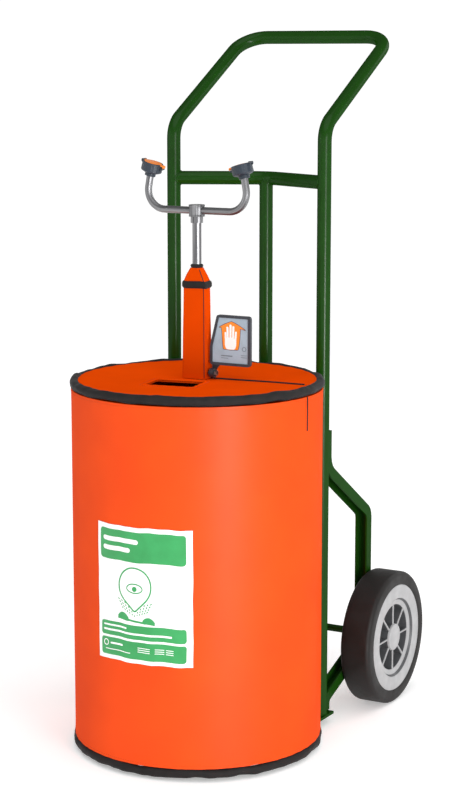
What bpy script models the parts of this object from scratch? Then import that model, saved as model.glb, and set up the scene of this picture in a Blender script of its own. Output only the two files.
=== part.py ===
"""Portable pressurised eyewash station on a two-wheel cart, as separate parts.

Metres, +Z up. The origin is on the floor under the tank's axis. -Y is the front, where the user
stands, and left and right are as that user sees them, so +X is right.
"""

import math

import bmesh
import bpy
from mathutils import Matrix, Vector

MM = 0.001

# Clearances
GAP = 0.3 * MM  # between parts that touch, are pressed or are welded together
RUN = 0.3 * MM  # radial running clearance of shafts, pins and the ball
SLIDE = 1.0 * MM  # loose fit of things that only pass through

# Jacket, an insulated cover around the tank
JACKET_RADIUS = 222 * MM
JACKET_TOP = 665.7 * MM
JACKET_WALL = 8 * MM
LID_THICKNESS = 10 * MM
LID_SINK = 2.5 * MM  # the lid lies this far below the top of its binding
BINDING_RADIUS = 8.8 * MM
BINDING_PROUD = 4 * MM  # how far a binding stands out of the wall
LINER_THICKNESS = 9 * MM
LINER_TOP = 540 * MM
WINDOW_SIZE = (92 * MM, 70 * MM)
WINDOW_CENTRE = (-5 * MM, -69 * MM)
WINDOW_TURN = math.radians(10)
SEAM_WIDTH = 1.6 * MM
SEAM_TURN = math.radians(3)
SLIT_DEPTH = 74 * MM  # of the seam down the wall, from the lid
LABEL_SIZE = (184 * MM, 238 * MM)
LABEL_LOW = 203.5 * MM
LABEL_TURN = math.radians(4.4)  # of the label's middle, from the front towards the right
LABEL_THICKNESS = 0.6 * MM

# Sleeve around the riser
SLEEVE_BASE = (47 * MM, 30 * MM)
SLEEVE_SHOULDER = (41.5 * MM, 24 * MM)
SLEEVE_SHOULDER_TOP = 838 * MM
SLEEVE_TOP = 860.5 * MM
SLEEVE_NECK_RADIUS = 10.6 * MM
SLEEVE_WALL = 1.6 * MM
SLEEVE_CORNER = 3 * MM
STRAP_HEIGHT = 13 * MM
STRAP_THICKNESS = 2.6 * MM
NECK_BAND_RADIUS = 11.4 * MM
NECK_BAND_HEIGHT = 6 * MM

# Tank
TANK_WALL = 2 * MM
TANK_SHELL_LOW = 102 * MM  # where the bottom head begins
TANK_SHELL_HIGH = 470 * MM  # where the top head begins
HEAD_DEPTH = 72 * MM
FOOT_RING_RADIUS = 150 * MM
FOOT_RING_WALL = 3 * MM
PORT_RADIUS = 20 * MM
PORT_BORE = 9.5 * MM
PORT_HEIGHT = 17 * MM
FILL_RADIUS = 28 * MM
FILL_BORE = 22 * MM
FILL_HEIGHT = 30 * MM
FILL_PLACE = (-85 * MM, 55 * MM)
FILL_CAP_RADIUS = 33 * MM
FILL_CAP_HEIGHT = 14 * MM
DIP_TUBE_RADIUS = 8 * MM
DIP_TUBE_FOOT = 30 * MM  # clear height under the dip tube, over the tank's bottom

# Fittings over the tank
MANIFOLD_RADIUS = 14 * MM
MANIFOLD_BORE = 6 * MM
STUB_RADIUS = 8 * MM
STUB_REACH = 26 * MM
STUB_RISE = 22 * MM
GAUGE_RADIUS = 26 * MM
GAUGE_HEIGHT = 17 * MM
GAUGE_WALL = 2 * MM
GAUGE_PLACE = (0.0, -66 * MM)
GAUGE_PIPE_RADIUS = 5 * MM
RELIEF_LENGTH = 24 * MM

# Ball valve and its push flag
VALVE_AXIS_HEIGHT = 677 * MM
VALVE_RADIUS = 11.8 * MM
VALVE_HALF = 23 * MM
BALL_RADIUS = 9 * MM
BALL_BORE = 5.2 * MM
SEAT_THICKNESS = 2 * MM
STEM_RADIUS = 3 * MM
STEM_BOSS_RADIUS = 6.5 * MM
STEM_BOSS_REACH = 20 * MM
LEVER_NEAR = 28 * MM
LEVER_WIDTH = 8 * MM
LEVER_HUB_RADIUS = 8.5 * MM
FLAG_THICKNESS = 3 * MM
FLAG_LEFT = 27.5 * MM
FLAG_RIGHT = 108 * MM
FLAG_LOW = 15 * MM  # over the valve's axis, as are the next two
FLAG_BEND = 48 * MM
FLAG_HIGH = 103.5 * MM
FLAG_CORNER = 5 * MM
FLAG_SLANT = 14 * MM  # how far its left side leans in over its height
TRIM_DEPTH = 3.2 * MM
TRIM_THICKNESS = 1.6 * MM

# Riser, yoke and spray heads
PIPE_RADIUS = 7.9 * MM
PIPE_WALL = 1.4 * MM
YOKE_HEIGHT = 960 * MM  # of the arms' axis
YOKE_RADIUS = 13.6 * MM
YOKE_HALF = 10.2 * MM
COLLAR_RADIUS = 10.9 * MM
COLLAR_HEIGHT = 11 * MM
ARM_RADIUS = 6.35 * MM
ARM_WALL = 1.2 * MM
ARM_SPREAD = 93.5 * MM  # from the riser's axis to each arm's end
ARM_RISE = 62.5 * MM
ARM_BEND = 33 * MM
ARM_LEAN = math.radians(10)
HEAD_TILT = math.radians(16)
HEAD_RADIUS = 18.6 * MM
HEAD_HEIGHT = 24.5 * MM
HEAD_NECK_RADIUS = 9.6 * MM
HEAD_WALL = 2 * MM
FACE_THICKNESS = 3 * MM
FACE_SINK = 4.6 * MM  # the spray face lies this far below the head's rim
COVER_THICKNESS = 2.6 * MM
COVER_SINK = 2.2 * MM  # the cover's underside lies this far below the head's rim
COVER_PLAY = 0.6 * MM  # between the cover and the inside of the rim
COVER_DOME = 0.9 * MM
TAB_LENGTH = 5.5 * MM
TAB_WIDTH = 8 * MM
LIP_REACH = 5 * MM  # of the head under the tab
HINGE_RADIUS = 1.8 * MM
HINGE_PIN_RADIUS = 0.9 * MM
HINGE_REACH = 0.4 * MM  # of the pin's axis outside the head's rim
KNUCKLE_HALF = 3.5 * MM
EAR_WIDTH = 2.4 * MM

# Cart
TUBE_RADIUS = 12.5 * MM
TUBE_WALL = 1.8 * MM
UPRIGHT_SPREAD = 155.4 * MM  # from the middle to each upright's axis
UPRIGHT_CLEAR = 18.461 * MM  # from the jacket's wall to each upright's axis
UPRIGHT_BACK = math.sqrt((JACKET_RADIUS + UPRIGHT_CLEAR) ** 2 - UPRIGHT_SPREAD**2)
POST_BACK = UPRIGHT_BACK + 78.5 * MM
UPPER_BAR_HEIGHT = 1003 * MM
LOWER_BAR_HEIGHT = 95 * MM
LOWER_BAR_SHOULDER = (118 * MM, UPRIGHT_BACK + 32.5 * MM)  # of its bend, clear of the jacket
HANDLE_BEND_HEIGHT = 1101 * MM
HANDLE_TOP = 1260 * MM
HANDLE_REACH = 271.5 * MM
LEAN_BEND = 45 * MM
CORNER_BEND = 50 * MM
BAR_BEND = 60 * MM
PLATE_THICKNESS = 5 * MM
PLATE_TOP = 21 * MM
PLATE_HALF = 170 * MM
PLATE_NOSE_RADIUS = JACKET_RADIUS - 22 * MM
FOOT_SIZE = (280 * MM, 150 * MM)
FOOT_FORWARD = 30 * MM  # of the foot's middle, ahead of the tank's axis
FOOT_CHAMFER = 4 * MM
PLATE_BEHIND = 15 * MM  # behind the uprights' backs
BRACKET_WIDTH = 25 * MM
BRACKET_DEPTH = 20 * MM
BRACKET_SHEET = 3 * MM
BRACKET_TOP = 551 * MM
BRACKET_LEG_LOW = 486 * MM  # lower end of the upper leg's back
BRACKET_KNEE = 371 * MM
BRACKET_HEEL = 106 * MM
BRACKET_TOE = 38 * MM
BRACKET_BEND = 30 * MM
AXLE_RADIUS = 7 * MM
AXLE_BACK = UPRIGHT_BACK + 195.5 * MM
AXLE_TO_BRACKET_BACK = 12 * MM

# Wheels
WHEEL_RADIUS = 127 * MM
WHEEL_WIDTH = 57.5 * MM
WHEEL_INNER = 162.5 * MM  # from the middle to a wheel's inner face
RIM_RADIUS = 102 * MM
TYRE_PROUD = (2 * MM, 0.4 * MM)  # of the tyre past the rim's inner and outer faces
TYRE_CHAMFER = 5 * MM
RIM_STEP_RADIUS = 76 * MM
POCKET_RADIUS = 63 * MM
POCKET_STEP = 6.5 * MM
POCKET_FLOOR = 24 * MM  # below the rim's outer face
WEB_THICKNESS = 6 * MM
HUB_RADIUS = 25.7 * MM
HUB_BACK_REACH = 3 * MM
HUB_BORE = 11 * MM
NUT_POCKET_RADIUS = 18 * MM
NUT_POCKET_DEPTH = 7.5 * MM
SPOKE_COUNT = 8
SPOKE_THICKNESS = 3.4 * MM
NUT_RADIUS = 12 * MM
NUT_THICKNESS = 4.5 * MM
CAP_THICKNESS = 2 * MM
CAP_DOME = 2 * MM

# Number of flats on round parts
BIG = 36
WHEEL = 32
TANK = 28
ROUND = 22
TUBE = 12
SMALL = 12

# Lengths that follow from the ones above
BINDING_RING = JACKET_RADIUS + BINDING_PROUD - BINDING_RADIUS
TOP_BINDING_HEIGHT = JACKET_TOP + LID_SINK - BINDING_RADIUS
LOW_BINDING_HEIGHT = 14 * MM
PLATE_LOW = PLATE_TOP - PLATE_THICKNESS
STANDING = PLATE_TOP + GAP  # where things stand on the toe plate
WALL_TOP = TOP_BINDING_HEIGHT - BINDING_RADIUS - GAP
WALL_LOW = LOW_BINDING_HEIGHT + BINDING_RADIUS + GAP
LID_UNDER = JACKET_TOP - LID_THICKNESS
LINER_OUTER = JACKET_RADIUS - JACKET_WALL - GAP
TANK_RADIUS = (LINER_OUTER - LINER_THICKNESS) * math.cos(math.pi / BIG) - GAP
TANK_TOP = TANK_SHELL_HIGH + HEAD_DEPTH
PORT_TOP = TANK_TOP + PORT_HEIGHT - TANK_WALL
MANIFOLD_LOW = PORT_TOP + GAP
STUB_HEIGHT = MANIFOLD_LOW + STUB_RISE
MANIFOLD_TOP = VALVE_AXIS_HEIGHT - VALVE_HALF - GAP
GAUGE_LOW = LID_UNDER - SLIDE * 4 - GAUGE_HEIGHT
UPRIGHT_REAR = UPRIGHT_BACK + TUBE_RADIUS
BRACKET_BACK = UPRIGHT_REAR + GAP + BRACKET_DEPTH
PLATE_REAR = UPRIGHT_REAR + PLATE_BEHIND
AXLE_HEIGHT = WHEEL_RADIUS
WHEEL_PLAY = 1 * MM
BRACKET_OUTER = WHEEL_INNER - HUB_BACK_REACH - WHEEL_PLAY
HUB_FACE = WHEEL_WIDTH - POCKET_STEP
NUT_SEAT = HUB_FACE - NUT_POCKET_DEPTH
YOKE_LOW = YOKE_HEIGHT - YOKE_HALF
COLLAR_LOW = YOKE_LOW - COLLAR_HEIGHT


def clear_scene():
    for obj in list(bpy.data.objects):
        bpy.data.objects.remove(obj)


def make_material(name, colour, roughness, metallic=0.0, alpha=1.0):
    material = bpy.data.materials.new(name)
    material.use_nodes = True
    shader = material.node_tree.nodes["Principled BSDF"]
    shader.inputs["Base Color"].default_value = (*colour, 1.0)
    shader.inputs["Roughness"].default_value = roughness
    shader.inputs["Metallic"].default_value = metallic
    shader.inputs["Alpha"].default_value = alpha
    return material


def make_object(name, bm, material, at=(0, 0, 0), rotation=None):
    """Closes the bmesh into one object, its faces pointing out and its round parts smooth."""
    bmesh.ops.remove_doubles(bm, verts=bm.verts, dist=1e-7)
    bmesh.ops.recalc_face_normals(bm, faces=bm.faces)
    if bm.calc_volume(signed=True) < 0:
        bmesh.ops.reverse_faces(bm, faces=bm.faces)
    mesh = bpy.data.meshes.new(name)
    bm.to_mesh(mesh)
    bm.free()
    mesh.materials.append(material)
    mesh.shade_smooth()
    mesh.set_sharp_from_angle(angle=math.radians(35))
    obj = bpy.data.objects.new(name, mesh)
    bpy.context.scene.collection.objects.link(obj)
    obj.location = at
    if rotation is not None:
        obj.rotation_euler = rotation
    return obj


AXIS_TURNS = {
    "Z": Matrix.Identity(4),
    "X": Matrix.Rotation(math.pi / 2, 4, "Y"),
    "-X": Matrix.Rotation(-math.pi / 2, 4, "Y"),
    "Y": Matrix.Rotation(-math.pi / 2, 4, "X"),
    "-Y": Matrix.Rotation(math.pi / 2, 4, "X"),
}


def turned(name, outline, material, at=(0, 0, 0), axis="Z", sides=ROUND, rotation=None):
    """A solid of revolution. The outline is a closed loop of (radius, height along the axis)."""
    bm = bmesh.new()
    verts = [bm.verts.new((radius, 0, height)) for radius, height in outline]
    edges = []
    for i, vert in enumerate(verts):
        after = verts[(i + 1) % len(verts)]
        if vert.co.x > 0 or after.co.x > 0:
            edges.append(bm.edges.new((vert, after)))
    bmesh.ops.spin(
        bm,
        geom=verts + edges,
        cent=(0, 0, 0),
        axis=(0, 0, 1),
        dvec=(0, 0, 0),
        angle=2 * math.pi,
        steps=sides,
        use_merge=True,
        use_duplicate=False,
    )
    bmesh.ops.transform(bm, matrix=AXIS_TURNS[axis], verts=bm.verts)
    return make_object(name, bm, material, at, rotation)


def rod(name, radius, low, high, material, at=(0, 0, 0), axis="Z", sides=ROUND, bore=0.0, rotation=None):
    """A plain cylinder or, with a bore, a plain ring."""
    outline = [(bore, low), (radius, low), (radius, high), (bore, high)]
    return turned(name, outline, material, at, axis, sides, rotation)


def hex_nut(name, radius, bore, low, high, material, at, axis):
    nut = rod(name, radius, low, high, material, at, axis, 6)
    return cut(nut, rod("thread", bore, low - MM, high + MM, material, at, axis, SMALL))


def box(name, low, high, material, at=(0, 0, 0), rotation=None):
    bm = bmesh.new()
    bmesh.ops.create_cube(bm, size=1.0)
    size = [b - a for a, b in zip(low, high)]
    middle = [(a + b) / 2 for a, b in zip(low, high)]
    bmesh.ops.scale(bm, vec=size, verts=bm.verts)
    bmesh.ops.translate(bm, vec=middle, verts=bm.verts)
    return make_object(name, bm, material, at, rotation)


def prism(name, outline, low, high, material, plane="XY", at=(0, 0, 0)):
    """A flat outline pushed from low to high, square to its plane: XY, XZ or YZ."""
    places = {
        "XY": lambda u, v, w: (u, v, w),
        "XZ": lambda u, v, w: (u, w, v),
        "YZ": lambda u, v, w: (w, u, v),
    }
    place = places[plane]
    bm = bmesh.new()
    face = bm.faces.new([bm.verts.new(place(u, v, low)) for u, v in outline])
    extruded = bmesh.ops.extrude_face_region(bm, geom=[face], use_keep_orig=True)
    moved = [v for v in extruded["geom"] if isinstance(v, bmesh.types.BMVert)]
    bmesh.ops.translate(bm, vec=Vector(place(0, 0, high - low)), verts=moved)
    return make_object(name, bm, material, at)


def rounded_path(corners, radii, steps=5):
    """The points of a path with its inner corners rounded as arcs. radii has one for each inner corner."""
    corners = [Vector(c) for c in corners]
    points = [corners[0]]
    for before, corner, after, radius in zip(corners, corners[1:], corners[2:], radii):
        back = (before - corner).normalized()
        ahead = (after - corner).normalized()
        half_angle = back.angle(ahead) / 2
        start = corner + back * (radius / math.tan(half_angle))
        centre = corner + (back + ahead).normalized() * (radius / math.sin(half_angle))
        arm = start - centre
        turn = math.pi - 2 * half_angle
        spin_axis = arm.cross(back).normalized()
        for i in range(steps + 1):
            points.append(centre + Matrix.Rotation(-turn * i / steps, 3, spin_axis) @ arm)
    points.append(corners[-1])
    return points


def tube(name, points, radius, material, wall=0.0, sides=TUBE, at=(0, 0, 0)):
    """A round tube along the points. With a wall it is hollow and open at both ends."""
    bm = bmesh.new()
    count = len(points)
    tangents = []
    for i in range(count):
        into = points[i] - points[i - 1] if i > 0 else points[1] - points[0]
        out = points[i + 1] - points[i] if i < count - 1 else into
        tangents.append((into.normalized() + out.normalized()).normalized())
    side = tangents[0].orthogonal().normalized()
    skins = [radius] if wall == 0 else [radius, radius - wall]
    rings = [[] for _ in skins]
    for i, point in enumerate(points):
        if i > 0:
            side = tangents[i - 1].rotation_difference(tangents[i]) @ side
        up = tangents[i].cross(side).normalized()
        for ring, skin in zip(rings, skins):
            turns = [2 * math.pi * (k + 0.5) / sides for k in range(sides)]
            ring.append(
                [bm.verts.new(point + (side * math.cos(t) + up * math.sin(t)) * skin) for t in turns]
            )
    for ring in rings:
        for here, there in zip(ring, ring[1:]):
            for k in range(sides):
                after = (k + 1) % sides
                bm.faces.new((here[k], here[after], there[after], there[k]))
    for end in (0, -1):
        if wall == 0:
            bm.faces.new(rings[0][end])
            continue
        for k in range(sides):
            after = (k + 1) % sides
            outer, inner = rings[0][end], rings[1][end]
            bm.faces.new((outer[k], outer[after], inner[after], inner[k]))
    return make_object(name, bm, material, at)


def combine(target, other, operation):
    """Cuts the other object from the target or joins it to it, then removes the other."""
    modifier = target.modifiers.new(operation.title(), "BOOLEAN")
    modifier.operation = operation
    modifier.object = other
    modifier.solver = "EXACT"
    bpy.context.view_layer.update()
    graph = bpy.context.evaluated_depsgraph_get()
    shaped = bpy.data.meshes.new_from_object(target.evaluated_get(graph))
    target.modifiers.clear()
    worn = target.data
    name = worn.name
    target.data = shaped
    bpy.data.meshes.remove(worn)
    shaped.name = name
    bpy.data.objects.remove(other)
    return target


def cut(target, *cutters):
    for cutter in cutters:
        combine(target, cutter, "DIFFERENCE")
    return target


def join(target, *others):
    for other in others:
        combine(target, other, "UNION")
    return target


def ring_outline(ring_radius, section_radius, height, sides=8):
    """The round section of a binding, for turned()."""
    turns = [2 * math.pi * (k + 0.5) / sides for k in range(sides)]
    return [(ring_radius + section_radius * math.cos(t), height + section_radius * math.sin(t)) for t in turns]


def head_curve(radius, depth, base, direction, steps=4):
    """A quarter ellipse from the shell's edge in to near the axis, for a tank's domed head."""
    turns = [math.pi / 2 * k / steps for k in range(steps)]
    return [(radius * math.cos(t), base + direction * depth * math.sin(t)) for t in turns]


def underside(radius):
    """The height of the tank's bottom head at a radius."""
    return TANK_SHELL_LOW - HEAD_DEPTH * math.sqrt(1 - (radius / TANK_RADIUS) ** 2)


def build_tank(steel, rubber):
    inner = TANK_RADIUS - TANK_WALL
    depth = HEAD_DEPTH - TANK_WALL
    outside_top = head_curve(TANK_RADIUS, HEAD_DEPTH, TANK_SHELL_HIGH, 1)
    inside_top = head_curve(inner, depth, TANK_SHELL_HIGH, 1)
    outside_low = head_curve(TANK_RADIUS, HEAD_DEPTH, TANK_SHELL_LOW, -1)
    inside_low = head_curve(inner, depth, TANK_SHELL_LOW, -1)
    port = [
        (PORT_RADIUS, TANK_TOP - TANK_WALL),
        (PORT_RADIUS, PORT_TOP),
        (PORT_BORE, PORT_TOP),
        (PORT_BORE, TANK_TOP - TANK_WALL * 3),
    ]
    outline = (
        [(0, TANK_SHELL_LOW - HEAD_DEPTH)]
        + outside_low[::-1]
        + outside_top
        + port
        + inside_top[::-1]
        + inside_low
        + [(0, TANK_SHELL_LOW - depth)]
    )
    shell = turned("tank_shell", outline, steel, sides=TANK)
    x, y = FILL_PLACE
    dome = math.sqrt(1 - (x * x + y * y) / TANK_RADIUS**2) * HEAD_DEPTH + TANK_SHELL_HIGH
    fill_top = dome + FILL_HEIGHT
    neck = rod("fill_neck_blank", FILL_RADIUS, dome - 14 * MM, fill_top, steel, (x, y, 0))
    bore = rod("fill_bore", FILL_BORE, dome - 40 * MM, fill_top + MM, steel, (x, y, 0))
    join(shell, neck)
    cut(shell, bore)
    cap = [
        (0, fill_top + GAP),
        (FILL_CAP_RADIUS, fill_top + GAP),
        (FILL_CAP_RADIUS, fill_top + FILL_CAP_HEIGHT * 0.6),
        (FILL_CAP_RADIUS - 3 * MM, fill_top + FILL_CAP_HEIGHT * 0.7),
        (0, fill_top + FILL_CAP_HEIGHT * 0.7),
    ]
    fill_cap = turned("fill_cap", cap, rubber, (x, y, 0))
    grip_half = FILL_CAP_RADIUS - 5 * MM
    grip = box(
        "fill_cap_grip",
        (-grip_half, -4 * MM, fill_top + FILL_CAP_HEIGHT * 0.5),
        (grip_half, 4 * MM, fill_top + FILL_CAP_HEIGHT * 1.4),
        rubber,
        (x, y, 0),
    )
    join(fill_cap, grip)
    low = STANDING
    ring_inner = FOOT_RING_RADIUS - FOOT_RING_WALL
    foot = [
        (FOOT_RING_RADIUS - 14 * MM, low),
        (FOOT_RING_RADIUS, low),
        (FOOT_RING_RADIUS, underside(FOOT_RING_RADIUS) - GAP * 2),
        (ring_inner, underside(ring_inner) - GAP * 2),
        (FOOT_RING_RADIUS - FOOT_RING_WALL, low + FOOT_RING_WALL),
        (FOOT_RING_RADIUS - 14 * MM, low + FOOT_RING_WALL),
    ]
    turned("tank_foot_ring", foot, steel, sides=TANK)
    dip_low = TANK_SHELL_LOW - HEAD_DEPTH + DIP_TUBE_FOOT
    dip_bore = DIP_TUBE_RADIUS - PIPE_WALL
    rod("dip_tube", DIP_TUBE_RADIUS, dip_low, PORT_TOP, steel, bore=dip_bore, sides=SMALL)


def build_fittings(brass, steel, black, white, red, glass):
    """The manifold over the tank's port, and the gauge, relief valve and air valve on it."""
    body = [
        (0, MANIFOLD_LOW),
        (MANIFOLD_RADIUS, MANIFOLD_LOW),
        (MANIFOLD_RADIUS, MANIFOLD_TOP),
        (0, MANIFOLD_TOP),
    ]
    manifold = turned("outlet_manifold", body, brass, sides=SMALL * 2)
    centre = (0, 0, STUB_HEIGHT)
    cross = rod("stub_cross", STUB_RADIUS, -STUB_REACH, STUB_REACH, brass, centre, "X", SMALL)
    x, y = GAUGE_PLACE
    corners = [(x, -MANIFOLD_RADIUS * 0.7, STUB_HEIGHT), (x, y, STUB_HEIGHT), (x, y, GAUGE_LOW - GAP)]
    elbow = tube("gauge_elbow", rounded_path(corners, [GAUGE_PIPE_RADIUS * 1.4]), GAUGE_PIPE_RADIUS, brass)
    join(manifold, cross, elbow)
    off_seam = (0, 0, math.radians(7))
    low, high = MANIFOLD_LOW - MM, MANIFOLD_TOP + MM
    cut(manifold, rod("main_bore", MANIFOLD_BORE, low, high, brass, sides=SMALL, rotation=off_seam))

    start = STUB_REACH + GAP
    relief = [
        (0, start),
        (STUB_RADIUS, start),
        (STUB_RADIUS, start + RELIEF_LENGTH * 0.5),
        (STUB_RADIUS - 2 * MM, start + RELIEF_LENGTH * 0.6),
        (STUB_RADIUS - 2 * MM, start + RELIEF_LENGTH),
        (RUN + 1.5 * MM, start + RELIEF_LENGTH),
        (RUN + 1.5 * MM, start + RELIEF_LENGTH * 0.5),
        (0, start + RELIEF_LENGTH * 0.5),
    ]
    turned("relief_valve", relief, brass, centre, "-X", SMALL)
    knob_start = start + RELIEF_LENGTH + GAP
    pin_end = start + RELIEF_LENGTH * 0.5 + GAP
    knob = [
        (0, pin_end),
        (1.5 * MM, pin_end),
        (1.5 * MM, knob_start),
        (STUB_RADIUS - 3 * MM, knob_start),
        (STUB_RADIUS - 1 * MM, knob_start + 5 * MM),
        (0, knob_start + 5 * MM),
    ]
    turned("relief_knob", knob, red, centre, "-X", SMALL)
    air = [
        (0, start),
        (STUB_RADIUS - 1 * MM, start),
        (STUB_RADIUS - 1 * MM, start + 6 * MM),
        (3.5 * MM, start + 8 * MM),
        (3.5 * MM, start + 18 * MM),
        (5 * MM, start + 18.5 * MM),
        (5 * MM, start + 27 * MM),
        (0, start + 28 * MM),
    ]
    turned("air_valve", air, black, centre, "X", SMALL)
    build_gauge(steel, white, red, glass)


def build_gauge(steel, white, red, glass):
    x, y = GAUGE_PLACE
    inner = GAUGE_RADIUS - GAUGE_WALL
    floor = GAUGE_WALL + MM
    lens_seat = GAUGE_HEIGHT - 4 * MM
    dial_seat = lens_seat - 5 * MM
    case = [
        (0, 0),
        (GAUGE_RADIUS, 0),
        (GAUGE_RADIUS, GAUGE_HEIGHT),
        (inner, GAUGE_HEIGHT),
        (inner, lens_seat),
        (inner - MM, lens_seat),
        (inner - MM, dial_seat),
        (inner - 3 * MM, dial_seat),
        (inner - 3 * MM, floor),
        (0, floor),
    ]
    at = (x, y, GAUGE_LOW)
    turned("gauge_case", case, steel, at)
    dial_low = dial_seat + GAP
    dial_top = dial_low + MM
    pivot = 1.2 * MM
    rod("gauge_dial", inner - MM - GAP, dial_low, dial_top, white, at, bore=pivot + RUN)
    rod("gauge_lens", inner - GAP, lens_seat + GAP, lens_seat + 2.5 * MM, glass, at)
    hub = [
        (0, floor + GAP),
        (pivot, floor + GAP),
        (pivot, dial_top + GAP),
        (3 * MM, dial_top + GAP),
        (3 * MM, dial_top + 1.5 * MM),
        (0, dial_top + 1.5 * MM),
    ]
    needle = turned("gauge_needle", hub, red, at, sides=SMALL)
    pointer = [(1.2 * MM, -6 * MM), (0.4 * MM, inner - 6 * MM), (-0.4 * MM, inner - 6 * MM), (-1.2 * MM, -6 * MM)]
    blade = prism("pointer", pointer, dial_top + 0.6 * MM, dial_top + 1.2 * MM, red, at=at)
    join(needle, blade)


def build_valve(brass, steel, white):
    """A quarter-turn ball valve, shut while the flag stands up. Its stem points right."""
    centre = (0, 0, VALVE_AXIS_HEIGHT)
    cavity = (BALL_RADIUS + RUN) / math.cos(math.pi / SMALL)
    seat_height = BALL_RADIUS * 0.72
    seat_outer = math.sqrt(cavity**2 - seat_height**2)
    seat_top = seat_height + SEAT_THICKNESS
    steps = 4
    low_angle = math.asin(seat_height / cavity)
    turns = [-low_angle + 2 * low_angle * k / steps for k in range(steps + 1)]
    chamber = [(cavity * math.cos(t), cavity * math.sin(t)) for t in turns]
    socket = PIPE_RADIUS + GAP * 2
    outline = (
        [
            (BALL_BORE, -VALVE_HALF),
            (VALVE_RADIUS - 1.2 * MM, -VALVE_HALF),
            (VALVE_RADIUS, -VALVE_HALF + 2 * MM),
            (VALVE_RADIUS, VALVE_HALF - 2 * MM),
            (VALVE_RADIUS - 1.2 * MM, VALVE_HALF),
            (socket, VALVE_HALF),
            (socket, seat_top + 4 * MM),
            (BALL_BORE, seat_top + 4 * MM),
            (BALL_BORE, seat_top + GAP),
            (seat_outer + GAP, seat_top + GAP),
        ]
        + chamber[::-1]
        + [(seat_outer + GAP, -seat_top - GAP), (BALL_BORE, -seat_top - GAP)]
    )
    body = turned("valve_body", outline, brass, centre, sides=SMALL)
    boss_start = BALL_RADIUS + 1.5 * MM
    boss = rod("stem_boss", STEM_BOSS_RADIUS, boss_start, STEM_BOSS_REACH, brass, centre, "X", SMALL)
    join(body, boss)
    turn = (math.radians(4), 0, 0)
    stem_bore = rod("stem_bore", STEM_RADIUS + RUN, 0, STEM_BOSS_REACH + MM, brass, centre, "X", SMALL, rotation=turn)
    cut(body, stem_bore)

    ball_steps = 8
    turns = [-math.pi / 2 + math.pi * k / ball_steps for k in range(ball_steps + 1)]
    sphere = [(max(0.0, BALL_RADIUS * math.cos(t)), BALL_RADIUS * math.sin(t)) for t in turns]
    sphere[0] = (0, -BALL_RADIUS)
    sphere[-1] = (0, BALL_RADIUS)
    ball = turned("valve_ball", sphere, steel, centre, "X", SMALL)
    port = rod("ball_port", BALL_BORE, -BALL_RADIUS * 1.2, BALL_RADIUS * 1.2, steel, centre, "Y", SMALL)
    stem_end = LEVER_NEAR + LEVER_WIDTH + 5 * MM
    stem = rod("valve_stem", STEM_RADIUS, BALL_RADIUS * 0.8, stem_end, steel, centre, "X", SMALL, rotation=turn)
    cut(ball, port)
    join(ball, stem)
    reach = math.sqrt((BALL_RADIUS + RUN) ** 2 - seat_outer**2)
    for name, side in (("valve_seat_lower", -1), ("valve_seat_upper", 1)):
        inner_reach = math.sqrt((BALL_RADIUS + RUN) ** 2 - BALL_BORE**2)
        ring = [
            (BALL_BORE, side * inner_reach),
            (seat_outer, side * reach),
            (seat_outer, side * seat_top),
            (BALL_BORE, side * seat_top),
        ]
        turned(name, ring, white, centre, sides=SMALL)


def flag_outline(inset):
    """The flag's rounded outline over the valve's axis, moved in by inset. Its upper left side slants."""
    slant = FLAG_SLANT / (FLAG_HIGH - FLAG_BEND)
    lean = inset * math.sqrt(1 + slant * slant)
    low = FLAG_LOW + inset
    high = FLAG_HIGH - inset
    left = FLAG_LEFT + inset
    bend = FLAG_BEND - (lean - inset) / slant
    top_left = FLAG_LEFT + lean + (high - FLAG_BEND) * slant
    middle = (FLAG_LEFT + FLAG_RIGHT) / 2
    right = FLAG_RIGHT - inset
    corners = [(middle, low), (right, low), (right, high), (top_left, high), (left, bend), (left, low), (middle, low)]
    corner = max(FLAG_CORNER - inset, MM)
    rounded = rounded_path([(u, v, 0) for u, v in corners], [corner, corner, corner, FLAG_CORNER * 3, corner], 3)
    return [(point.x, point.y) for point in rounded[:-1]]


def build_flag(grey, dark, steel):
    """The push flag on the valve's stem. Pushing its face turns the valve open."""
    hinge = (0, 0, VALVE_AXIS_HEIGHT)
    half = FLAG_THICKNESS / 2
    prism("flag_plate", flag_outline(TRIM_THICKNESS), -half, half, grey, "XZ", hinge)
    outside = half + TRIM_THICKNESS
    trim = prism("flag_trim", flag_outline(0), -outside, outside, dark, "XZ", hinge)
    window = prism("trim_window", flag_outline(TRIM_DEPTH + TRIM_THICKNESS), -outside * 2, outside * 2, dark, "XZ", hinge)
    slot = prism("trim_slot", flag_outline(TRIM_THICKNESS - GAP), -half - GAP, half + GAP, dark, "XZ", hinge)
    cut(trim, window, slot)
    lever = rod(
        "flag_lever",
        LEVER_HUB_RADIUS,
        LEVER_NEAR,
        LEVER_NEAR + LEVER_WIDTH,
        dark,
        hinge,
        "X",
        ROUND,
        bore=STEM_RADIUS + GAP,
    )
    behind = outside + GAP
    arm = [
        (LEVER_NEAR, LEVER_HUB_RADIUS * 0.6),
        (LEVER_NEAR + LEVER_WIDTH, LEVER_HUB_RADIUS * 0.6),
        (LEVER_NEAR + LEVER_WIDTH + 12 * MM, FLAG_LOW + 6 * MM),
        (LEVER_NEAR + LEVER_WIDTH + 12 * MM, FLAG_LOW + 22 * MM),
        (LEVER_NEAR + 2 * MM, FLAG_LOW + 22 * MM),
        (LEVER_NEAR, FLAG_LOW + 16 * MM),
    ]
    plate = prism("lever_arm", arm, behind, behind + 3.2 * MM, dark, "XZ", hinge)
    join(lever, plate)
    nut_start = LEVER_NEAR + LEVER_WIDTH + GAP
    hex_nut("lever_nut", 5.5 * MM, STEM_RADIUS + GAP, nut_start, nut_start + 4 * MM, steel, hinge, "X")


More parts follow.
